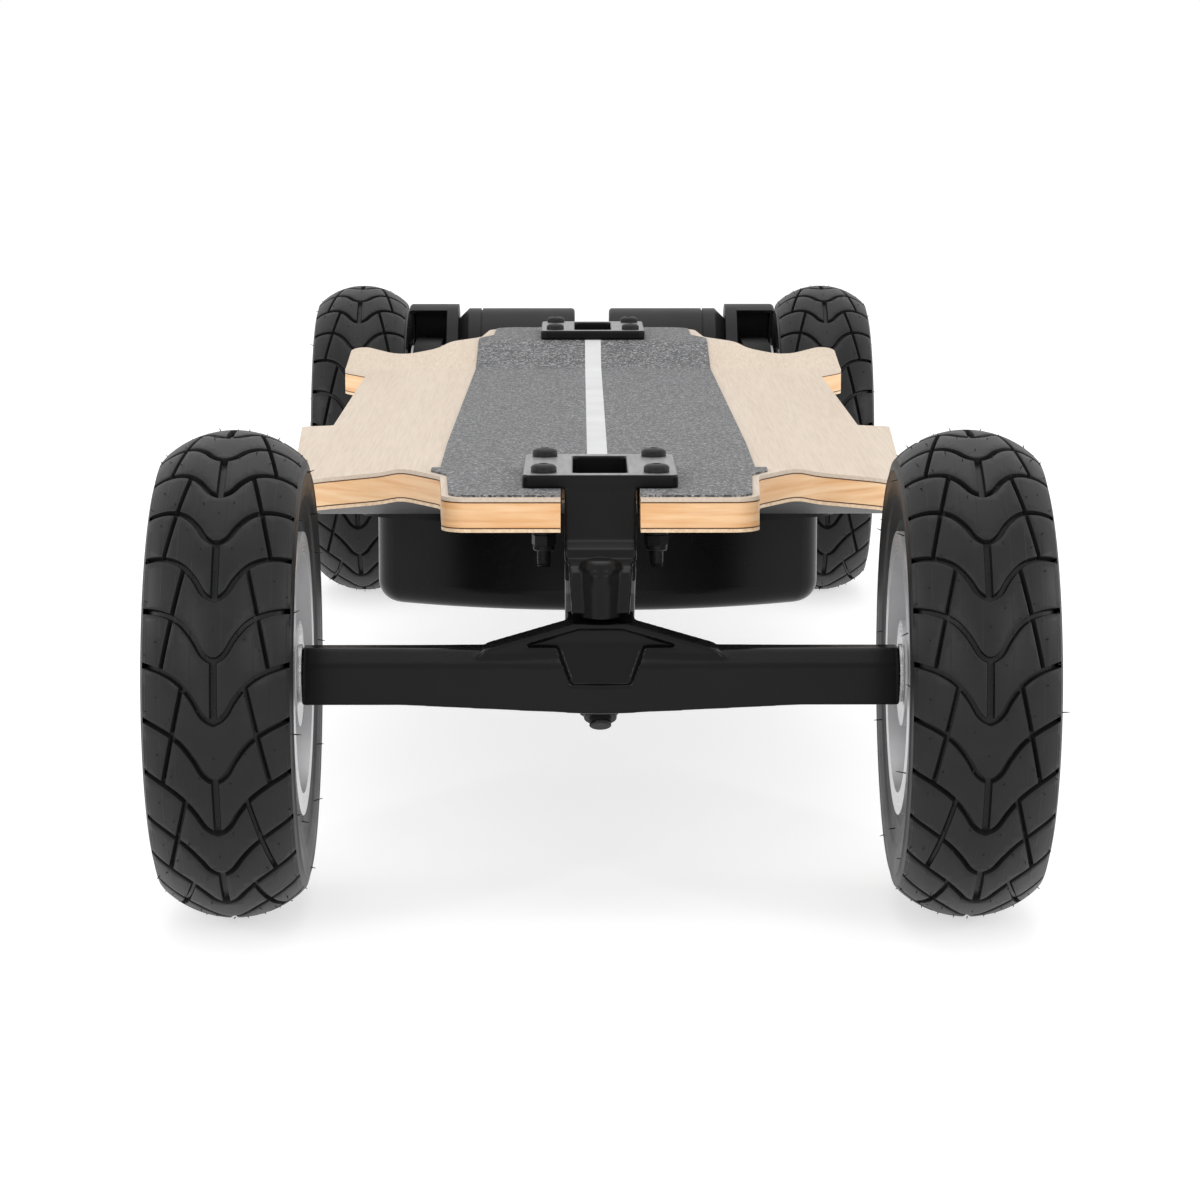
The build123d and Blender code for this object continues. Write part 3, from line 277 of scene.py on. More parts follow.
def veneer_top():
    """Pale bamboo veneer: long fine grain, a few darker strands."""
    shader = Shader("top_veneer", (0.76, 0.63, 0.48), 0.5)
    fine = shader.noise(900, 5.0, (1, 0.03, 1))
    wide = shader.noise(55, 4.0, (1, 0.06, 1))
    pale_stops = [(0.3, (0.47, 0.375, 0.285)), (0.5, (0.56, 0.46, 0.365)), (0.72, (0.63, 0.53, 0.43))]
    pale = shader.ramp(fine, pale_stops)
    tint = shader.ramp(wide, [(0.3, (0.50, 0.40, 0.30)), (0.65, (0.60, 0.50, 0.395))])
    blend = shader.tree.nodes.new("ShaderNodeMix")
    blend.data_type = "RGBA"
    blend.inputs["Factor"].default_value = 0.35
    shader.link(pale, blend.inputs[6])
    shader.link(tint, blend.inputs[7])
    shader.colour(blend.outputs[2])
    shader.bump(fine, 0.00006, 0.35)
    shader.rough(shader.span(fine, 0.42, 0.58))
    return shader


def bamboo_core():
    """The core's edge: orange-brown strands running along the board."""
    shader = Shader("bamboo_core", (0.78, 0.52, 0.29), 0.5)
    strands = shader.noise(420, 5.0, (0.05, 0.02, 1))
    knots = shader.noise(70, 4.0, (0.3, 0.12, 3.2))
    strand_stops = [
        (0.28, (0.55, 0.24, 0.08)),
        (0.42, (0.72, 0.38, 0.16)),
        (0.58, (0.80, 0.50, 0.26)),
        (0.75, (0.86, 0.61, 0.38)),
    ]
    base = shader.ramp(strands, strand_stops)
    warm = shader.ramp(knots, [(0.35, (0.62, 0.30, 0.10)), (0.6, (0.84, 0.61, 0.38))])
    blend = shader.tree.nodes.new("ShaderNodeMix")
    blend.data_type = "RGBA"
    blend.inputs["Factor"].default_value = 0.45
    shader.link(base, blend.inputs[6])
    shader.link(warm, blend.inputs[7])
    shader.colour(blend.outputs[2])
    shader.bump(strands, 0.00008, 0.4)
    return shader


def veneer_bottom():
    """The lowest ply: pale at its edge, black underneath."""
    shader = Shader("bottom_veneer", (0.70, 0.50, 0.32), 0.45)
    down = shader.step(shader.axis("Z", "Normal"), -0.6, -0.4)
    grain = shader.noise(700, 4.0, (1, 0.03, 1))
    edge = shader.ramp(grain, [(0.3, (0.62, 0.42, 0.25)), (0.7, (0.80, 0.62, 0.43))])
    shader.colour(shader.mix(down, (0.012, 0.012, 0.012), edge))
    shader.bump(grain, 0.00005, 0.3)
    return shader


def grip_tape():
    """Sharp mineral grit in clear binder: dark grey with bright and black grains."""
    shader = Shader("grip_tape", (0.17, 0.17, 0.175), 0.75)
    tone, distance = shader.cells(1300)
    speck = shader.first_channel(tone)
    patches = shader.noise(350, 4.0)
    both = shader.math("ADD", shader.math("MULTIPLY", speck, 0.65), shader.math("MULTIPLY", patches, 0.35))
    grit_stops = [
        (0.15, (0.02, 0.02, 0.021)),
        (0.42, (0.075, 0.075, 0.078)),
        (0.62, (0.15, 0.15, 0.153)),
        (0.9, (0.42, 0.42, 0.43)),
    ]
    shader.colour(shader.ramp(both, grit_stops))
    shader.bump(distance, 0.0004, 0.8)
    shader.rough(shader.span(speck, 0.5, 0.95))
    return shader


def tyre_rubber():
    """Glossy black rubber with fine mould lines and dusty patches."""
    shader = Shader("tyre_rubber", (0.010, 0.010, 0.011), 0.4)
    shader.set("Specular IOR Level", 0.2)
    offset = shader.math("SUBTRACT", shader.math("ABSOLUTE", shader.axis("X")), WHEEL_X)
    bands = shader.math("FRACT", shader.math("ADD", shader.math("DIVIDE", offset, MOULD_LINE_SPACING), 0.5))
    lines = shader.step(shader.math("ABSOLUTE", shader.math("SUBTRACT", bands, 0.5)), 0.46, 0.485)
    dust = shader.noise(90, 4.0)
    normal = shader.bump(lines, 0.00012, 0.5)
    shader.bump(shader.noise(1800, 2.0), 0.00004, 0.4, after=normal)
    shader.rough(shader.span(dust, 0.34, 0.52))
    shader.colour(shader.mix(dust, (0.007, 0.007, 0.0075), (0.015, 0.015, 0.0155)))
    return shader


def cast_black():
    return gloss_paint("cast_black", (0.0045, 0.0045, 0.005), 0.17)


def baseplate_paint():
    """Black enamel with the plate's top face machined bare."""
    shader = gloss_paint("baseplate", (0.0045, 0.0045, 0.005), 0.17)
    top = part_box("front_baseplate")[1].z
    facing = shader.step(shader.axis("Z", "Normal"), 0.9, 0.95)
    height = shader.step(shader.axis("Z"), top - 0.0004, top - 0.0002)
    bare = shader.math("MULTIPLY", facing, height)
    paint = shader.bsdf.inputs["Base Color"].links[0].from_socket
    marks = shader.noise(500, 4.0, (1, 0.1, 1))
    cut = shader.ramp(marks, [(0.3, (0.21, 0.21, 0.21)), (0.7, (0.29, 0.29, 0.295))])
    shader.colour(shader.mix(bare, paint, cut))
    shader.link(shader.math("MULTIPLY", bare, 0.6), shader.bsdf.inputs["Metallic"])
    shader.rough(shader.span(bare, 0.3, 0.42))
    return shader


def rim_aluminium():
    """Turned aluminium: fine rings about the wheel's axis."""
    shader = Shader("rim_aluminium", (0.78, 0.78, 0.80), 0.28, 1.0)
    along = shader.math("SUBTRACT", shader.math("ABSOLUTE", shader.axis("Y")), WHEEL_Y)
    up = shader.math("SUBTRACT", shader.axis("Z"), WHEEL_Z)
    squares = shader.math("ADD", shader.math("POWER", along, 2.0), shader.math("POWER", up, 2.0))
    radius = shader.math("SQRT", squares)
    rings = shader.math("SINE", shader.math("MULTIPLY", radius, 2 * math.pi / TURNED_RING_SPACING))
    shader.bump(rings, 0.00015, 0.5)
    shader.colour(shader.mix(shader.noise(60, 3.0), (0.60, 0.60, 0.61), (0.74, 0.74, 0.75)))
    shader.rough(shader.span(shader.noise(200, 3.0), 0.34, 0.48))
    return shader


def gloss_black_plastic():
    return plastic("tub_plastic", (0.004, 0.004, 0.0045), 0.24, 2500)


def belt_rubber():
    return plastic("belt_rubber", (0.016, 0.016, 0.016), 0.7)


MAKERS = {
    "top_veneer": veneer_top,
    "bamboo_core": bamboo_core,
    "bottom_veneer": veneer_bottom,
    "grip_tape": grip_tape,
    "stripe": lambda: plastic("stripe", (0.58, 0.58, 0.585), 0.55, 900),
    "cast_black": cast_black,
    "urethane": lambda: plastic("urethane", (0.02, 0.02, 0.02), 0.45),
    "black_steel": lambda: gloss_paint("black_steel", (0.018, 0.018, 0.019), 0.4),
    "tub_plastic": gloss_black_plastic,
    "gasket_rubber": lambda: plastic("gasket_rubber", (0.012, 0.012, 0.012), 0.8),
    "battery_wrap": lambda: plastic("battery_wrap", (0.02, 0.07, 0.22), 0.4),
    "controller_aluminium": lambda: metal("controller_aluminium", (0.45, 0.45, 0.46), 0.4),
    "port_plastic": lambda: plastic("port_plastic", (0.015, 0.015, 0.015), 0.5),
    "button_metal": lambda: metal("button_metal", (0.6, 0.6, 0.62), 0.3),
    "tyre_rubber": tyre_rubber,
    "bright_steel": lambda: metal("bright_steel", (0.62, 0.62, 0.63), 0.25),
    "rim_aluminium": rim_aluminium,
    "pulley_aluminium": lambda: metal("pulley_aluminium", (0.66, 0.66, 0.67), 0.35),
    "mount_black": lambda: gloss_paint("mount_black", (0.014, 0.014, 0.015), 0.42),
    "motor_black": lambda: gloss_paint("motor_black", (0.016, 0.016, 0.017), 0.42),
    "cover_plastic": lambda: plastic("cover_plastic", (0.022, 0.022, 0.023), 0.45),
    "belt_rubber": belt_rubber,
}
materials = {slot: maker().material for slot, maker in MAKERS.items()}
materials["baseplate"] = baseplate_paint().material
materials["glue"] = plastic("glue", (0.10, 0.045, 0.02), 0.5).material


def paint(obj, material):
    """Gives obj one material."""
    obj.data.materials.clear()
    obj.data.materials.append(material)


def paint_frame():
    """Every carried-over CAD node gets its procedural material."""
    for name, node in nodes.items():
        kind = "baseplate" if name.endswith("baseplate") else slot_of[name]
        paint(node, materials[kind])


def new_object(name, vertices, faces, material, sharp=None):
    """A mesh object from plain lists; sharp is the angle in degrees above which edges stay sharp."""
    mesh = bpy.data.meshes.new(name)
    mesh.from_pydata([tuple(v) for v in vertices], [], [tuple(f) for f in faces])
    work = bmesh.new()
    work.from_mesh(mesh)
    bmesh.ops.remove_doubles(work, verts=work.verts, dist=2e-6)
    bmesh.ops.recalc_face_normals(work, faces=work.faces)
    work.to_mesh(mesh)
    work.free()
    mesh.materials.append(material)
    mesh.shade_smooth()
    if sharp is not None:
        mesh.set_sharp_from_angle(angle=math.radians(sharp))
    obj = bpy.data.objects.new(name, mesh)
    bpy.context.scene.collection.objects.link(obj)
    return obj


# ---------------------------------------------------------------- tyres
TYRE_RADIUS = 87.5
CROWN_ARC = 35.6
PITCHES = 26
PITCH = 2 * math.pi * TYRE_RADIUS / PITCHES
PERIOD = 2 * PITCH
TREAD_PHASE = 2.4
TREAD_HALF = 28.0
GROOVE_DEPTH = 2.4
CHEVRON = [
    (0, 0), (3.8, 2.2), (7.0, 7.5), (10.8, 12.4),
    (14.5, 15.4), (18.8, 17.7), (23.1, 19.4), (25.3, 20.2),
]
CHEVRON_WIDTH, CENTRE_WIDTH, LEG_WIDTH = 2.2, 2.7, 1.9
CAP_ANGLES = [math.pi * k / 5 for k in range(1, 5)]
WALL_STEPS = [(0.30, 0.0), (0.0, -0.16), (-0.40, -GROOVE_DEPTH)]
SHOULDER_X, SHOULDER_RADIUS, SHOULDER_BEND = 23.2, 78.9, 11.0


def across(x):
    """Arc length over the crown at a distance x from the tyre's centre plane."""
    return CROWN_ARC * math.asin(x / CROWN_ARC)


def smooth_path(points, step=1.3):
    """Catmull-Rom samples through points, about step apart."""
    points = [np.array(p, float) for p in points]
    ends = [2 * points[0] - points[1]] + points + [2 * points[-1] - points[-2]]
    path = []
    for p0, p1, p2, p3 in zip(ends, ends[1:], ends[2:], ends[3:]):
        count = max(2, int(np.linalg.norm(p2 - p1) / step) + 1)
        for t in np.linspace(0, 1, count, endpoint=False):
            square = (2 * p0 - 5 * p1 + 4 * p2 - p3) * t**2
            cube = (3 * p1 - p0 - 3 * p2 + p3) * t**3
            path.append(0.5 * (2 * p1 + (p2 - p0) * t + square + cube))
    return np.array(path + [points[-1]])


def groove_strokes():
    """Centre lines of the grooves in one period, as (path in (round, across), half width)."""
    arm = [(rise, across(x)) for x, rise in CHEVRON]
    full = [(rise, -s) for rise, s in reversed(arm[1:])] + arm
    strokes = []
    for turn in (-1, 0, 1):
        start = turn * PERIOD
        for chevron in (0, 1):
            shifted = [(start + chevron * PITCH + u, s) for u, s in full]
            strokes.append((smooth_path(shifted), CHEVRON_WIDTH / 2))
        strokes.append((smooth_path([(start, 0), (start + PITCH, 0)]), CENTRE_WIDTH / 2))
        for side in (-1, 1):
            leg = [(start + 12.4, side * across(10.7)), (start + 15.4 - PITCH, side * across(14.6))]
            leg.append((start + 17.5 - PERIOD, side * across(18.4)))
            strokes.append((smooth_path(leg), LEG_WIDTH / 2))
    return strokes


def distance_to(points, path):
    """Distance of each point to a polyline."""
    best = np.full(len(points), 1e9)
    for a, b in zip(path[:-1], path[1:]):
        edge = b - a
        t = np.clip(((points - a) @ edge) / max(edge @ edge, 1e-12), 0, 1)
        best = np.minimum(best, np.linalg.norm(points - (a + t[:, None] * edge), axis=1))
    return best


def outline_of(path, half):
    """The closed outline at distance half around a polyline, with round ends."""
    tangent = np.gradient(path, axis=0)
    tangent /= np.linalg.norm(tangent, axis=1)[:, None]
    normal = np.stack([-tangent[:, 1], tangent[:, 0]], axis=1)
    left = path + normal * half
    right = path - normal * half

    def cap(centre, start):
        angle = math.atan2(start[1], start[0])
        turns = [angle - a for a in CAP_ANGLES]
        return [centre + half * np.array([math.cos(a), math.sin(a)]) for a in turns]

    far_cap = cap(path[-1], normal[-1])
    near_cap = cap(path[0], -normal[0])
    return np.array(list(left) + far_cap + list(right[::-1]) + near_cap)


def tread_cell():
    """One period of the tread as a height field: points (round, across, height) and triangles."""
    strokes = groove_strokes()
    points, edges = [], []

    def loop(outline):
        first = len(points)
        points.extend(Vector(p) for p in outline)
        edges.extend((first + i, first + (i + 1) % len(outline)) for i in range(len(outline)))

    for path, half in strokes:
        inside = (path[:, 0] > -3) & (path[:, 0] < PERIOD + 3)
        if not inside.any():
            continue
        for grow, _ in WALL_STEPS:
            loop(outline_of(path, half + grow))
    columns, rows = 14, 18
    grid = []
    for i in range(columns + 1):
        for j in range(rows + 1):
            grid.append((PERIOD * i / columns, TREAD_HALF * (2 * j / rows - 1)))
    grid = np.array(grid)
    reach = np.min([distance_to(grid, path) - half for path, half in strokes], axis=0)
    ends = (np.abs(grid[:, 0]) < 1e-9) | (np.abs(grid[:, 0] - PERIOD) < 1e-9)
    rim = ends | (np.abs(np.abs(grid[:, 1]) - TREAD_HALF) < 1e-9)
    for point in grid[(reach > 0.9) & ~rim]:
        points.append(Vector(point))
    for i in (0, columns):
        first = len(points)
        column = [g for g in grid if abs(g[0] - PERIOD * i / columns) < 1e-9]
        points.extend(Vector(g) for g in column)
        edges.extend((first + k, first + k + 1) for k in range(len(column) - 1))
    for side in (-1, 1):
        first = len(points)
        row = [g for g in grid if abs(g[1] - side * TREAD_HALF) < 1e-9]
        points.extend(Vector(g) for g in row)
        edges.extend((first + k, first + k + 1) for k in range(len(row) - 1))
    flat, _, triangles, *_ = delaunay_2d_cdt(points, edges, [], 0, 1e-5)
    flat = np.array([(p.x, p.y) for p in flat])
    kept = []
    for triangle in triangles:
        centre = flat[list(triangle)].mean(axis=0)
        if 0 < centre[0] < PERIOD and abs(centre[1]) < TREAD_HALF:
            kept.append(tuple(triangle))
    reach = np.min([distance_to(flat, path) - half for path, half in strokes], axis=0)
    grows = [grow for grow, _ in reversed(WALL_STEPS)]
    depths = [depth for _, depth in reversed(WALL_STEPS)]
    height = np.interp(reach, grows, depths)
    return np.column_stack([flat, height]), kept


def tread_surface(u, s, height):
    """A point of the tread in the wheel's frame, millimetres: u round the tyre, s over the crown."""
    shoulder = across(SHOULDER_X)
    if abs(s) <= shoulder:
        turn = s / CROWN_ARC
        x, radius = CROWN_ARC * math.sin(turn), TYRE_RADIUS - CROWN_ARC * (1 - math.cos(turn))
        nx, nr = math.sin(turn), math.cos(turn)
    else:
        x, radius, nx, nr = shoulder_point(abs(s) - shoulder)
        x, nx = math.copysign(x, s), math.copysign(nx, s)
    x, radius = x + height * nx, radius + height * nr
    phi = (u - TREAD_PHASE) / TYRE_RADIUS
    return (x, -radius * math.cos(phi), radius * math.sin(phi))


def shoulder_point(s):
    """The sidewall's curve below the crown: x, radius and normal at arc length s."""
    start = math.asin(SHOULDER_X / CROWN_ARC)
    bend = SHOULDER_BEND
    turn = min(s / bend, math.pi / 2 - start)
    x = SHOULDER_X + bend * (math.sin(start + turn) - math.sin(start))
    radius = SHOULDER_RADIUS + bend * (math.cos(start + turn) - math.cos(start))
    rest = s - turn * bend
    return x, radius - rest, math.sin(start + turn), math.cos(start + turn)


def sidewall_profile():
    """Points (x, radius) from the tread's edge to the bead, with three moulded ribs, then up the inside."""
    top = shoulder_point(TREAD_HALF - across(SHOULDER_X))
    x0, r0 = top[0], top[1]
    bead_x, bead_r = 21.8, 51.8
    profile = []
    count = 26
    for k in range(count + 1):
        t = k / count
        radius = r0 + (bead_r - r0) * t
        bulge = math.cos(t * math.pi / 2) ** 0.8 if t < 1 else 0
        x = bead_x + (x0 - bead_x) * bulge + 1.0 * math.sin(math.pi * min(t * 1.6, 1))
        for centre, tall in ((0.16, 0.45), (0.52, 0.35), (0.86, 0.5)):
            x += tall * math.exp(-(((t - centre) / 0.022) ** 2))
        profile.append((x, radius))
    profile += [(bead_x - 0.1, 49.5), (bead_x - 0.1, 46.6), (bead_x - 4.0, 46.4)]
    profile += [(16.0, 52.0), (19.5, 62.0), (17.5, 72.0), (10.0, 78.5), (0.0, 80.5)]
    return profile


def tyre_mesh():
    """Vertices in millimetres and faces of a whole tyre in the wheel's frame."""
    cell, triangles = tread_cell()
    vertices, faces = [], []
    for turn in range(PITCHES // 2):
        first = len(vertices)
        vertices.extend(tread_surface(u + turn * PERIOD, s, h) for u, s, h in cell)
        faces.extend(tuple(first + i for i in t) for t in triangles)
    steps = 14 * (PITCHES // 2)
    for side in (-1, 1):
        first = len(vertices)
        profile = sidewall_profile()
        edge = tread_surface(0, TREAD_HALF, 0)
        profile[0] = (edge[0], math.hypot(edge[1], edge[2]))
        for k in range(steps):
            phi = 2 * math.pi * k / steps - TREAD_PHASE / TYRE_RADIUS
            vertices.extend((side * x, -r * math.cos(phi), r * math.sin(phi)) for x, r in profile)
        width = len(profile)
        for k in range(steps):
            here, there = first + k * width, first + (k + 1) % steps * width
            for i in range(width - 1):
                quad = (here + i, there + i, there + i + 1, here + i + 1)
                faces.append(quad)
    return vertices, faces


def rubber_hair(vertices, faces, root, direction, length, radius=0.35):
    """A short tapered rubber hair left by a mould vent."""
    direction = direction / np.linalg.norm(direction)
    helper = np.array([1.0, 0, 0]) if abs(direction[0]) < 0.9 else np.array([0, 1.0, 0])
    a = np.cross(direction, helper)
    a /= np.linalg.norm(a)
    b = np.cross(direction, a)
    first = len(vertices)
    for along, size in ((-0.2, 1.0), (0.6 * length, 0.8), (length, 0.35)):
        for k in range(5):
            angle = 2 * math.pi * k / 5
            around = a * math.cos(angle) + b * math.sin(angle)
            vertices.append(root + direction * along + around * radius * size)
    for ring in (0, 1):
        for k in range(5):
            low, high = first + ring * 5, first + ring * 5 + 5
            faces.append((low + k, low + (k + 1) % 5, high + (k + 1) % 5, high + k))
    faces.append(tuple(first + 10 + k for k in range(5)))


def hairs(seed):
    """Rubber hairs in rows along the tread's mould lines, and a few long ones on the sidewalls."""
    dice = random.Random(seed)
    vertices, faces = [], []
    spacing = MOULD_LINE_SPACING / MM
    for row in range(-5, 6):
        for turn in range(PITCHES):
            s = row * spacing
            u = (turn + dice.uniform(0.3, 0.7) + 0.5 * (row % 2)) * PITCH
            if dice.random() < 0.25:
                continue
            root = np.array(tread_surface(u, s, -0.1))
            above = np.array(tread_surface(u, s, 0.9)) - root
            lean = np.array([dice.uniform(-0.5, 0.5) for _ in range(3)])
            rubber_hair(vertices, faces, root, above + lean, dice.uniform(0.5, 1.3), 0.22)
    for side in (-1, 1):
        for turn in range(12):
            phi = (turn + dice.uniform(-0.3, 0.3)) * math.pi / 6
            radius = dice.choice((72.0, 62.0, 56.0))
            root = np.array((side * 25.2, -radius * math.cos(phi), radius * math.sin(phi)))
            lean = np.array((side * 1.0, dice.uniform(-0.5, 0.5), dice.uniform(-0.5, 0.5)))
            rubber_hair(vertices, faces, root, lean, dice.uniform(2.0, 3.6), 0.25)
    return vertices, faces


def place_mesh(vertices, centre):
    """Wheel-frame millimetres moved to a wheel's centre, in metres."""
    return [(centre.x + v[0] * MM, centre.y + v[1] * MM, centre.z + v[2] * MM) for v in vertices]


def make_tyres():
    """A treaded tyre for each wheel, all with the chevrons pointing the same way."""
    vertices, faces = tyre_mesh()
    for index, end in enumerate(("front", "rear")):
        for side in ("left", "right"):
            low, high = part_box(f"{end}_{side}_tyre")
            centre = (low + high) / 2
            name = f"{end}_{side}_treaded_tyre"
            tyre = new_object(name, place_mesh(vertices, centre), faces, materials["tyre_rubber"], 32)
            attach(tyre, f"{end}_{side}_wheel")
            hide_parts(f"{end}_{side}_tyre")
            strands, strand_faces = hairs(index * 2 + (side == "right"))
            tuft_name = f"{end}_{side}_rubber_hairs"
            tuft = new_object(tuft_name, place_mesh(strands, centre), strand_faces, materials["tyre_rubber"])
            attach(tuft, f"{end}_{side}_wheel")


# ---------------------------------------------------------------- deck
GLUE_PROUD, GLUE_HALF = 0.00006, 0.00022


def glue_line(node, name, at_top):
    """A thin dark line round a ply where it meets its neighbour, following the ply's edge."""
    mesh = nodes[node].data
    side_edges, flat_edges = {}, {}
    places = [tuple(round(c, 7) for c in v.co) for v in mesh.vertices]
    for polygon in mesh.polygons:
        steep = abs(polygon.normal.z) < 0.35
        flat = polygon.normal.z > 0.7 if at_top else polygon.normal.z < -0.7
        loop = list(polygon.vertices)
        for a, b in zip(loop, loop[1:] + loop[:1]):
            key = tuple(sorted((places[a], places[b])))
            if steep:
                side_edges[key] = polygon.normal.copy()
            if flat:
                flat_edges[key] = True
    vertices, faces = [], []
    for (a, b), normal in side_edges.items():
        if (a, b) not in flat_edges:
            continue
        out = Vector((normal.x, normal.y, 0)).normalized() * GLUE_PROUD
        first = len(vertices)
        for corner, rise in ((a, GLUE_HALF), (b, GLUE_HALF), (b, -GLUE_HALF), (a, -GLUE_HALF)):
            vertices.append(Vector(corner) + out + Vector((0, 0, rise)))
        faces.append((first, first + 1, first + 2, first + 3))
    line = new_object(name, vertices, faces, materials["glue"])
    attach(line, "deck")


# ---------------------------------------------------------------- cast parts with rounded edges
def rounded_copy(node, name, material, voxel, passes, extra=()):
    """A copy of a CAD node, joined with extra closed meshes, with its edges softened as cast or moulded."""
    work = bmesh.new()
    work.from_mesh(nodes[node].data)
    for vertices, faces in extra:
        added = [work.verts.new(v) for v in vertices]
        for face in faces:
            work.faces.new([added[i] for i in face])
    bmesh.ops.remove_doubles(work, verts=work.verts, dist=2e-6)
    bmesh.ops.recalc_face_normals(work, faces=work.faces)
    mesh = bpy.data.meshes.new(name)
    work.to_mesh(mesh)
    work.free()
    obj = bpy.data.objects.new(name, mesh)
    bpy.context.scene.collection.objects.link(obj)
    remesh = obj.modifiers.new("remesh", "REMESH")
    remesh.mode = "VOXEL"
    remesh.voxel_size = voxel
    soften = obj.modifiers.new("soften", "SMOOTH")
    soften.factor = 0.6
    soften.iterations = passes
    thin = obj.modifiers.new("thin", "DECIMATE")
    thin.decimate_type = "COLLAPSE"
    thin.ratio = 0.35
    graph = bpy.context.evaluated_depsgraph_get()
    graph.update()
    final = bpy.data.meshes.new_from_object(obj.evaluated_get(graph))
    obj.modifiers.clear()
    obj.data = final
    final.materials.clear()
    final.materials.append(material)
    final.shade_smooth()
    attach(obj, body_of_node[node])
    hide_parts(node)
    return obj


AXLE = {"front": -WHEEL_Y, "rear": WHEEL_Y}
OUTBOARD = {"front": -1, "rear": 1}


def truck_point(end, x, y, z):
    """A point in a truck's frame, millimetres from the middle of its axle, y outboard, in metres."""
    return (x * MM, AXLE[end] + OUTBOARD[end] * y * MM, WHEEL_Z + z * MM)


def pocket_floor(end):
    """A wedge that makes the hanger's front pocket shallow, sloping back to the web above it."""
    low, high = (9.6, -3.5), (15.0, 10.8)
    corners = []
    for half, z, front in ((low[0], low[1], 10.4), (high[0], high[1], 5.3)):
        for x, y in ((-half, 3.0), (half, 3.0), (half, front), (-half, front)):
            corners.append(truck_point(end, x, y, z))
    faces = [(3, 2, 1, 0), (4, 5, 6, 7), (0, 1, 5, 4), (1, 2, 6, 5), (2, 3, 7, 6), (3, 0, 4, 7)]
    return corners, faces


def housing_rib(end):
    """The round rib down the front of the pivot housing, wide at the top and narrow at the foot."""
    vertices, faces = [], []
    levels = ((41.5, 1.0, 4.5), (40.6, 1.0, 6.3), (38.6, 1.4, 7.4), (34.0, 2.4, 7.3), (21.0, 4.2, 6.6))
    count = 32
    for z, y, radius in levels:
        for k in range(count):
            angle = 2 * math.pi * k / count
            vertices.append(truck_point(end, radius * math.cos(angle), y + radius * math.sin(angle), z))
    for ring in range(len(levels) - 1):
        for k in range(count):
            low, high = ring * count, (ring + 1) * count
            faces.append((low + k, low + (k + 1) % count, high + (k + 1) % count, high + k))
    faces.append(tuple(range(count)))
    faces.append(tuple((len(levels) - 1) * count + k for k in range(count)))
    return vertices, faces


def make_cast_parts():
    for end in ("front", "rear"):
        hanger = f"{end}_hanger"
        rounded_copy(hanger, f"{end}_cast_hanger", materials["cast_black"], 0.0007, 5, [pocket_floor(end)])
        plate = f"{end}_baseplate"
        rounded_copy(plate, f"{end}_cast_baseplate", materials["baseplate"], 0.0006, 3, [housing_rib(end)])


# ---------------------------------------------------------------- threaded fasteners
def frame_at(origin, axis):
    """Two unit vectors across an axis, for points placed round it."""
    axis = Vector(axis).normalized()
    across_a = axis.orthogonal().normalized()
    return Vector(origin), axis, across_a, axis.cross(across_a)


def lathe(profile, origin, axis, sides=40, flats=False):
    """Points (along, radius) turned about an axis; with flats, a hexagon instead of a circle."""
    origin, axis, a, b = frame_at(origin, axis)
    count = 6 if flats else sides
    vertices, faces = [], []
    for along, radius in profile:
        for k in range(count):
            angle = 2 * math.pi * k / count
            around = a * math.cos(angle) + b * math.sin(angle)
            vertices.append(origin + axis * along * MM + around * radius * MM)
    for ring in range(len(profile) - 1):
        for k in range(count):
            low, high = ring * count, (ring + 1) * count
            faces.append((low + k, low + (k + 1) % count, high + (k + 1) % count, high + k))
    faces.append(tuple(range(count)))
    faces.append(tuple((len(profile) - 1) * count + k for k in range(count)))
    return vertices, faces


def thread(start, end, radius, pitch, origin, axis, sides=24, steps=4):
    """A helical thread from start to end along an axis."""
    origin, axis, a, b = frame_at(origin, axis)
    rows = int((end - start) / pitch * steps)
    depth = [0.0, 0.6, 1.0, 0.6]
    vertices, faces = [], []
    for row in range(rows + 1):
        for k in range(sides):
            angle = 2 * math.pi * k / sides
            along = start + (row / steps + k / sides) * pitch
            along = min(max(along, start), end)
            size = radius - 0.45 * depth[row % steps]
            around = a * math.cos(angle) + b * math.sin(angle)
            vertices.append(origin + axis * along * MM + around * size * MM)
    for row in range(rows):
        for k in range(sides - 1):
            here = row * sides + k
            faces.append((here, here + 1, here + sides + 1, here + sides))
        if row + steps < rows:
            here, there = row * sides + sides - 1, (row + steps) * sides
            faces.append((here, there, there + sides, here + sides))
    return vertices, faces


def merged(*parts):
    """One list of vertices and faces from several."""
    vertices, faces = [], []
    for part_vertices, part_faces in parts:
        first = len(vertices)
        vertices.extend(part_vertices)
        faces.extend(tuple(first + i for i in face) for face in part_faces)
    return vertices, faces


BOLT_ACROSS, BOLT_ALONG, BOLT_PATTERN_INBOARD = 41.3, 53.9, 60.0


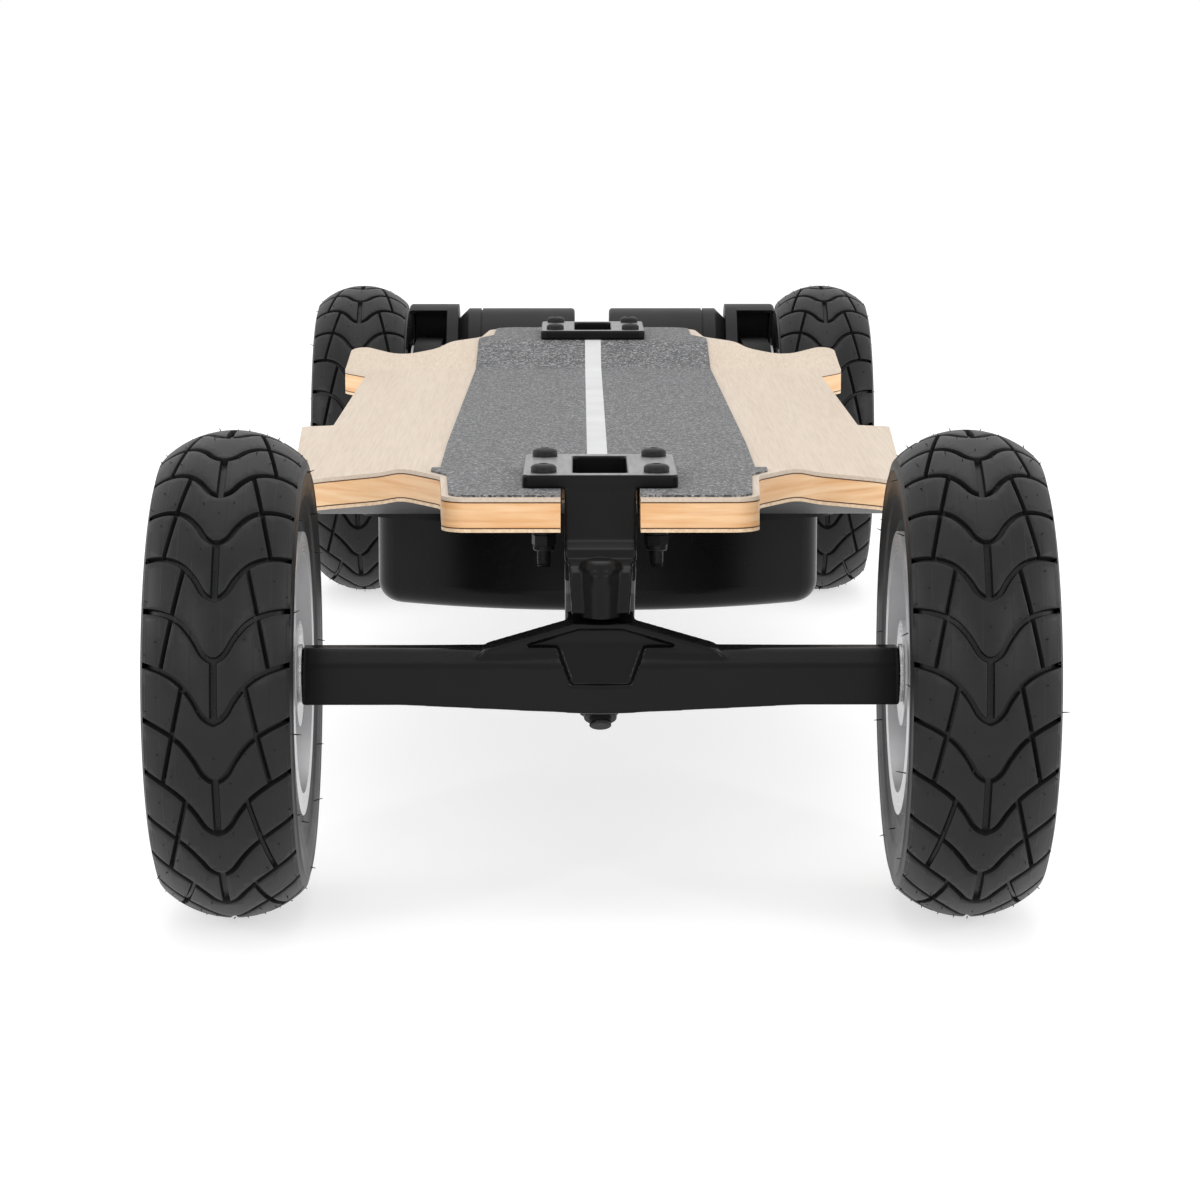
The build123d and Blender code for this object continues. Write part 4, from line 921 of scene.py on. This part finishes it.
def make_deck_nuts():
    """Washers, spacers and lock nuts under the deck, with the bolts' threads below them."""
    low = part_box("deck_bolts")[0]
    nut_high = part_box("deck_nuts")[1]
    across_half, along_half = BOLT_ACROSS / 2 * MM, BOLT_ALONG / 2 * MM
    parts, threads = [], []
    for end in ("front", "rear"):
        middle = AXLE[end] - OUTBOARD[end] * BOLT_PATTERN_INBOARD * MM
        for x in (-across_half, across_half):
            for y in (-along_half, along_half):
                origin, down = (x, middle + y, nut_high.z), (0, 0, -1)
                parts.append(lathe([(0.0, 2.6), (0.0, 4.9), (1.0, 4.9), (1.0, 2.6)], origin, down))
                parts.append(lathe([(1.0, 2.6), (1.0, 4.3), (4.4, 4.3), (4.4, 2.6)], origin, down))
                hexagon = [(4.4, 2.6), (4.4, 4.1), (4.8, 4.6), (8.2, 4.6), (8.5, 4.2), (8.5, 2.6)]
                parts.append(lathe(hexagon, origin, down, flats=True))
                collar = [(8.4, 2.6), (8.4, 4.0), (10.0, 4.0), (10.5, 3.5), (10.5, 2.6)]
                parts.append(lathe(collar, origin, down))
                threads.append(thread(10.4, (nut_high.z - low.z) / MM + 1.5, 2.62, 0.9, origin, down))
    nuts = new_object("deck_lock_nuts", *merged(*parts), materials["black_steel"], 30)
    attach(nuts, "deck")
    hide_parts("deck_nuts")
    ends = new_object("deck_bolt_threads", *merged(*threads), materials["black_steel"], 50)
    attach(ends, "deck")


def make_bolt_heads():
    """Domed button heads over the deck bolts, each with a round socket recess."""
    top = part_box("deck_bolts")[1].z
    across_half, along_half = BOLT_ACROSS / 2 * MM, BOLT_ALONG / 2 * MM
    steps = 8
    dome = [(-1.4, 4.6)]
    for k in range(steps + 1):
        angle = math.pi / 2 * k / steps
        dome.append((-1.2 + 1.6 * math.sin(angle), 1.7 + 3.1 * math.cos(angle)))
    socket = [(0.0, 1.5), (-0.9, 1.5), (-0.9, 0.4)]
    parts = []
    for end in ("front", "rear"):
        middle = AXLE[end] - OUTBOARD[end] * BOLT_PATTERN_INBOARD * MM
        for x in (-across_half, across_half):
            for y in (-along_half, along_half):
                parts.append(lathe(dome + socket, (x, middle + y, top), (0, 0, 1)))
    heads = new_object("deck_bolt_heads", *merged(*parts), materials["black_steel"], 40)
    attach(heads, "deck")


def make_kingpin_nuts():
    """A cupped washer and lock nut on each kingpin, with the thread showing below."""
    parts = []
    for joint in frame["record"]["behaviour"]["joints"]:
        if not joint["name"].endswith("steer"):
            continue
        axis = joint["axis"]
        sign = 1 if axis[1] < 0 else -1
        down = (0, -sign * axis[2], -abs(axis[1]))
        origin = joint["pos_m"]
        cup = [(15.5, 4.1), (15.5, 11.4), (18.0, 11.6), (19.6, 10.6), (20.2, 8.6), (20.2, 4.1)]
        parts.append(lathe(cup, origin, down, 48))
        hexagon = [(20.2, 4.1), (20.2, 6.8), (20.7, 7.5), (26.2, 7.5), (26.8, 6.9), (26.8, 4.1)]
        parts.append(lathe(hexagon, origin, down, flats=True))
        collar = [(26.7, 4.1), (26.7, 6.2), (28.3, 6.0), (28.6, 5.6), (28.6, 4.1)]
        parts.append(lathe(collar, origin, down, 40))
        tip = [(28.4, 3.6), (31.2, 3.6), (31.6, 3.0), (31.6, 0.5)]
        parts.append(lathe(tip, origin, down, 32))
        parts.append(thread(28.4, 31.2, 4.05, 1.25, origin, down, 32))
    nuts = new_object("kingpin_lock_nuts", *merged(*parts), materials["black_steel"], 30)
    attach(nuts, "deck")
    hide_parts("kingpin_nuts")


make_camera()
make_studio()
paint_frame()
make_tyres()
make_cast_parts()
make_deck_nuts()
make_bolt_heads()
make_kingpin_nuts()
glue_line("deck_core", "upper_glue_line", True)
glue_line("deck_core", "lower_glue_line", False)
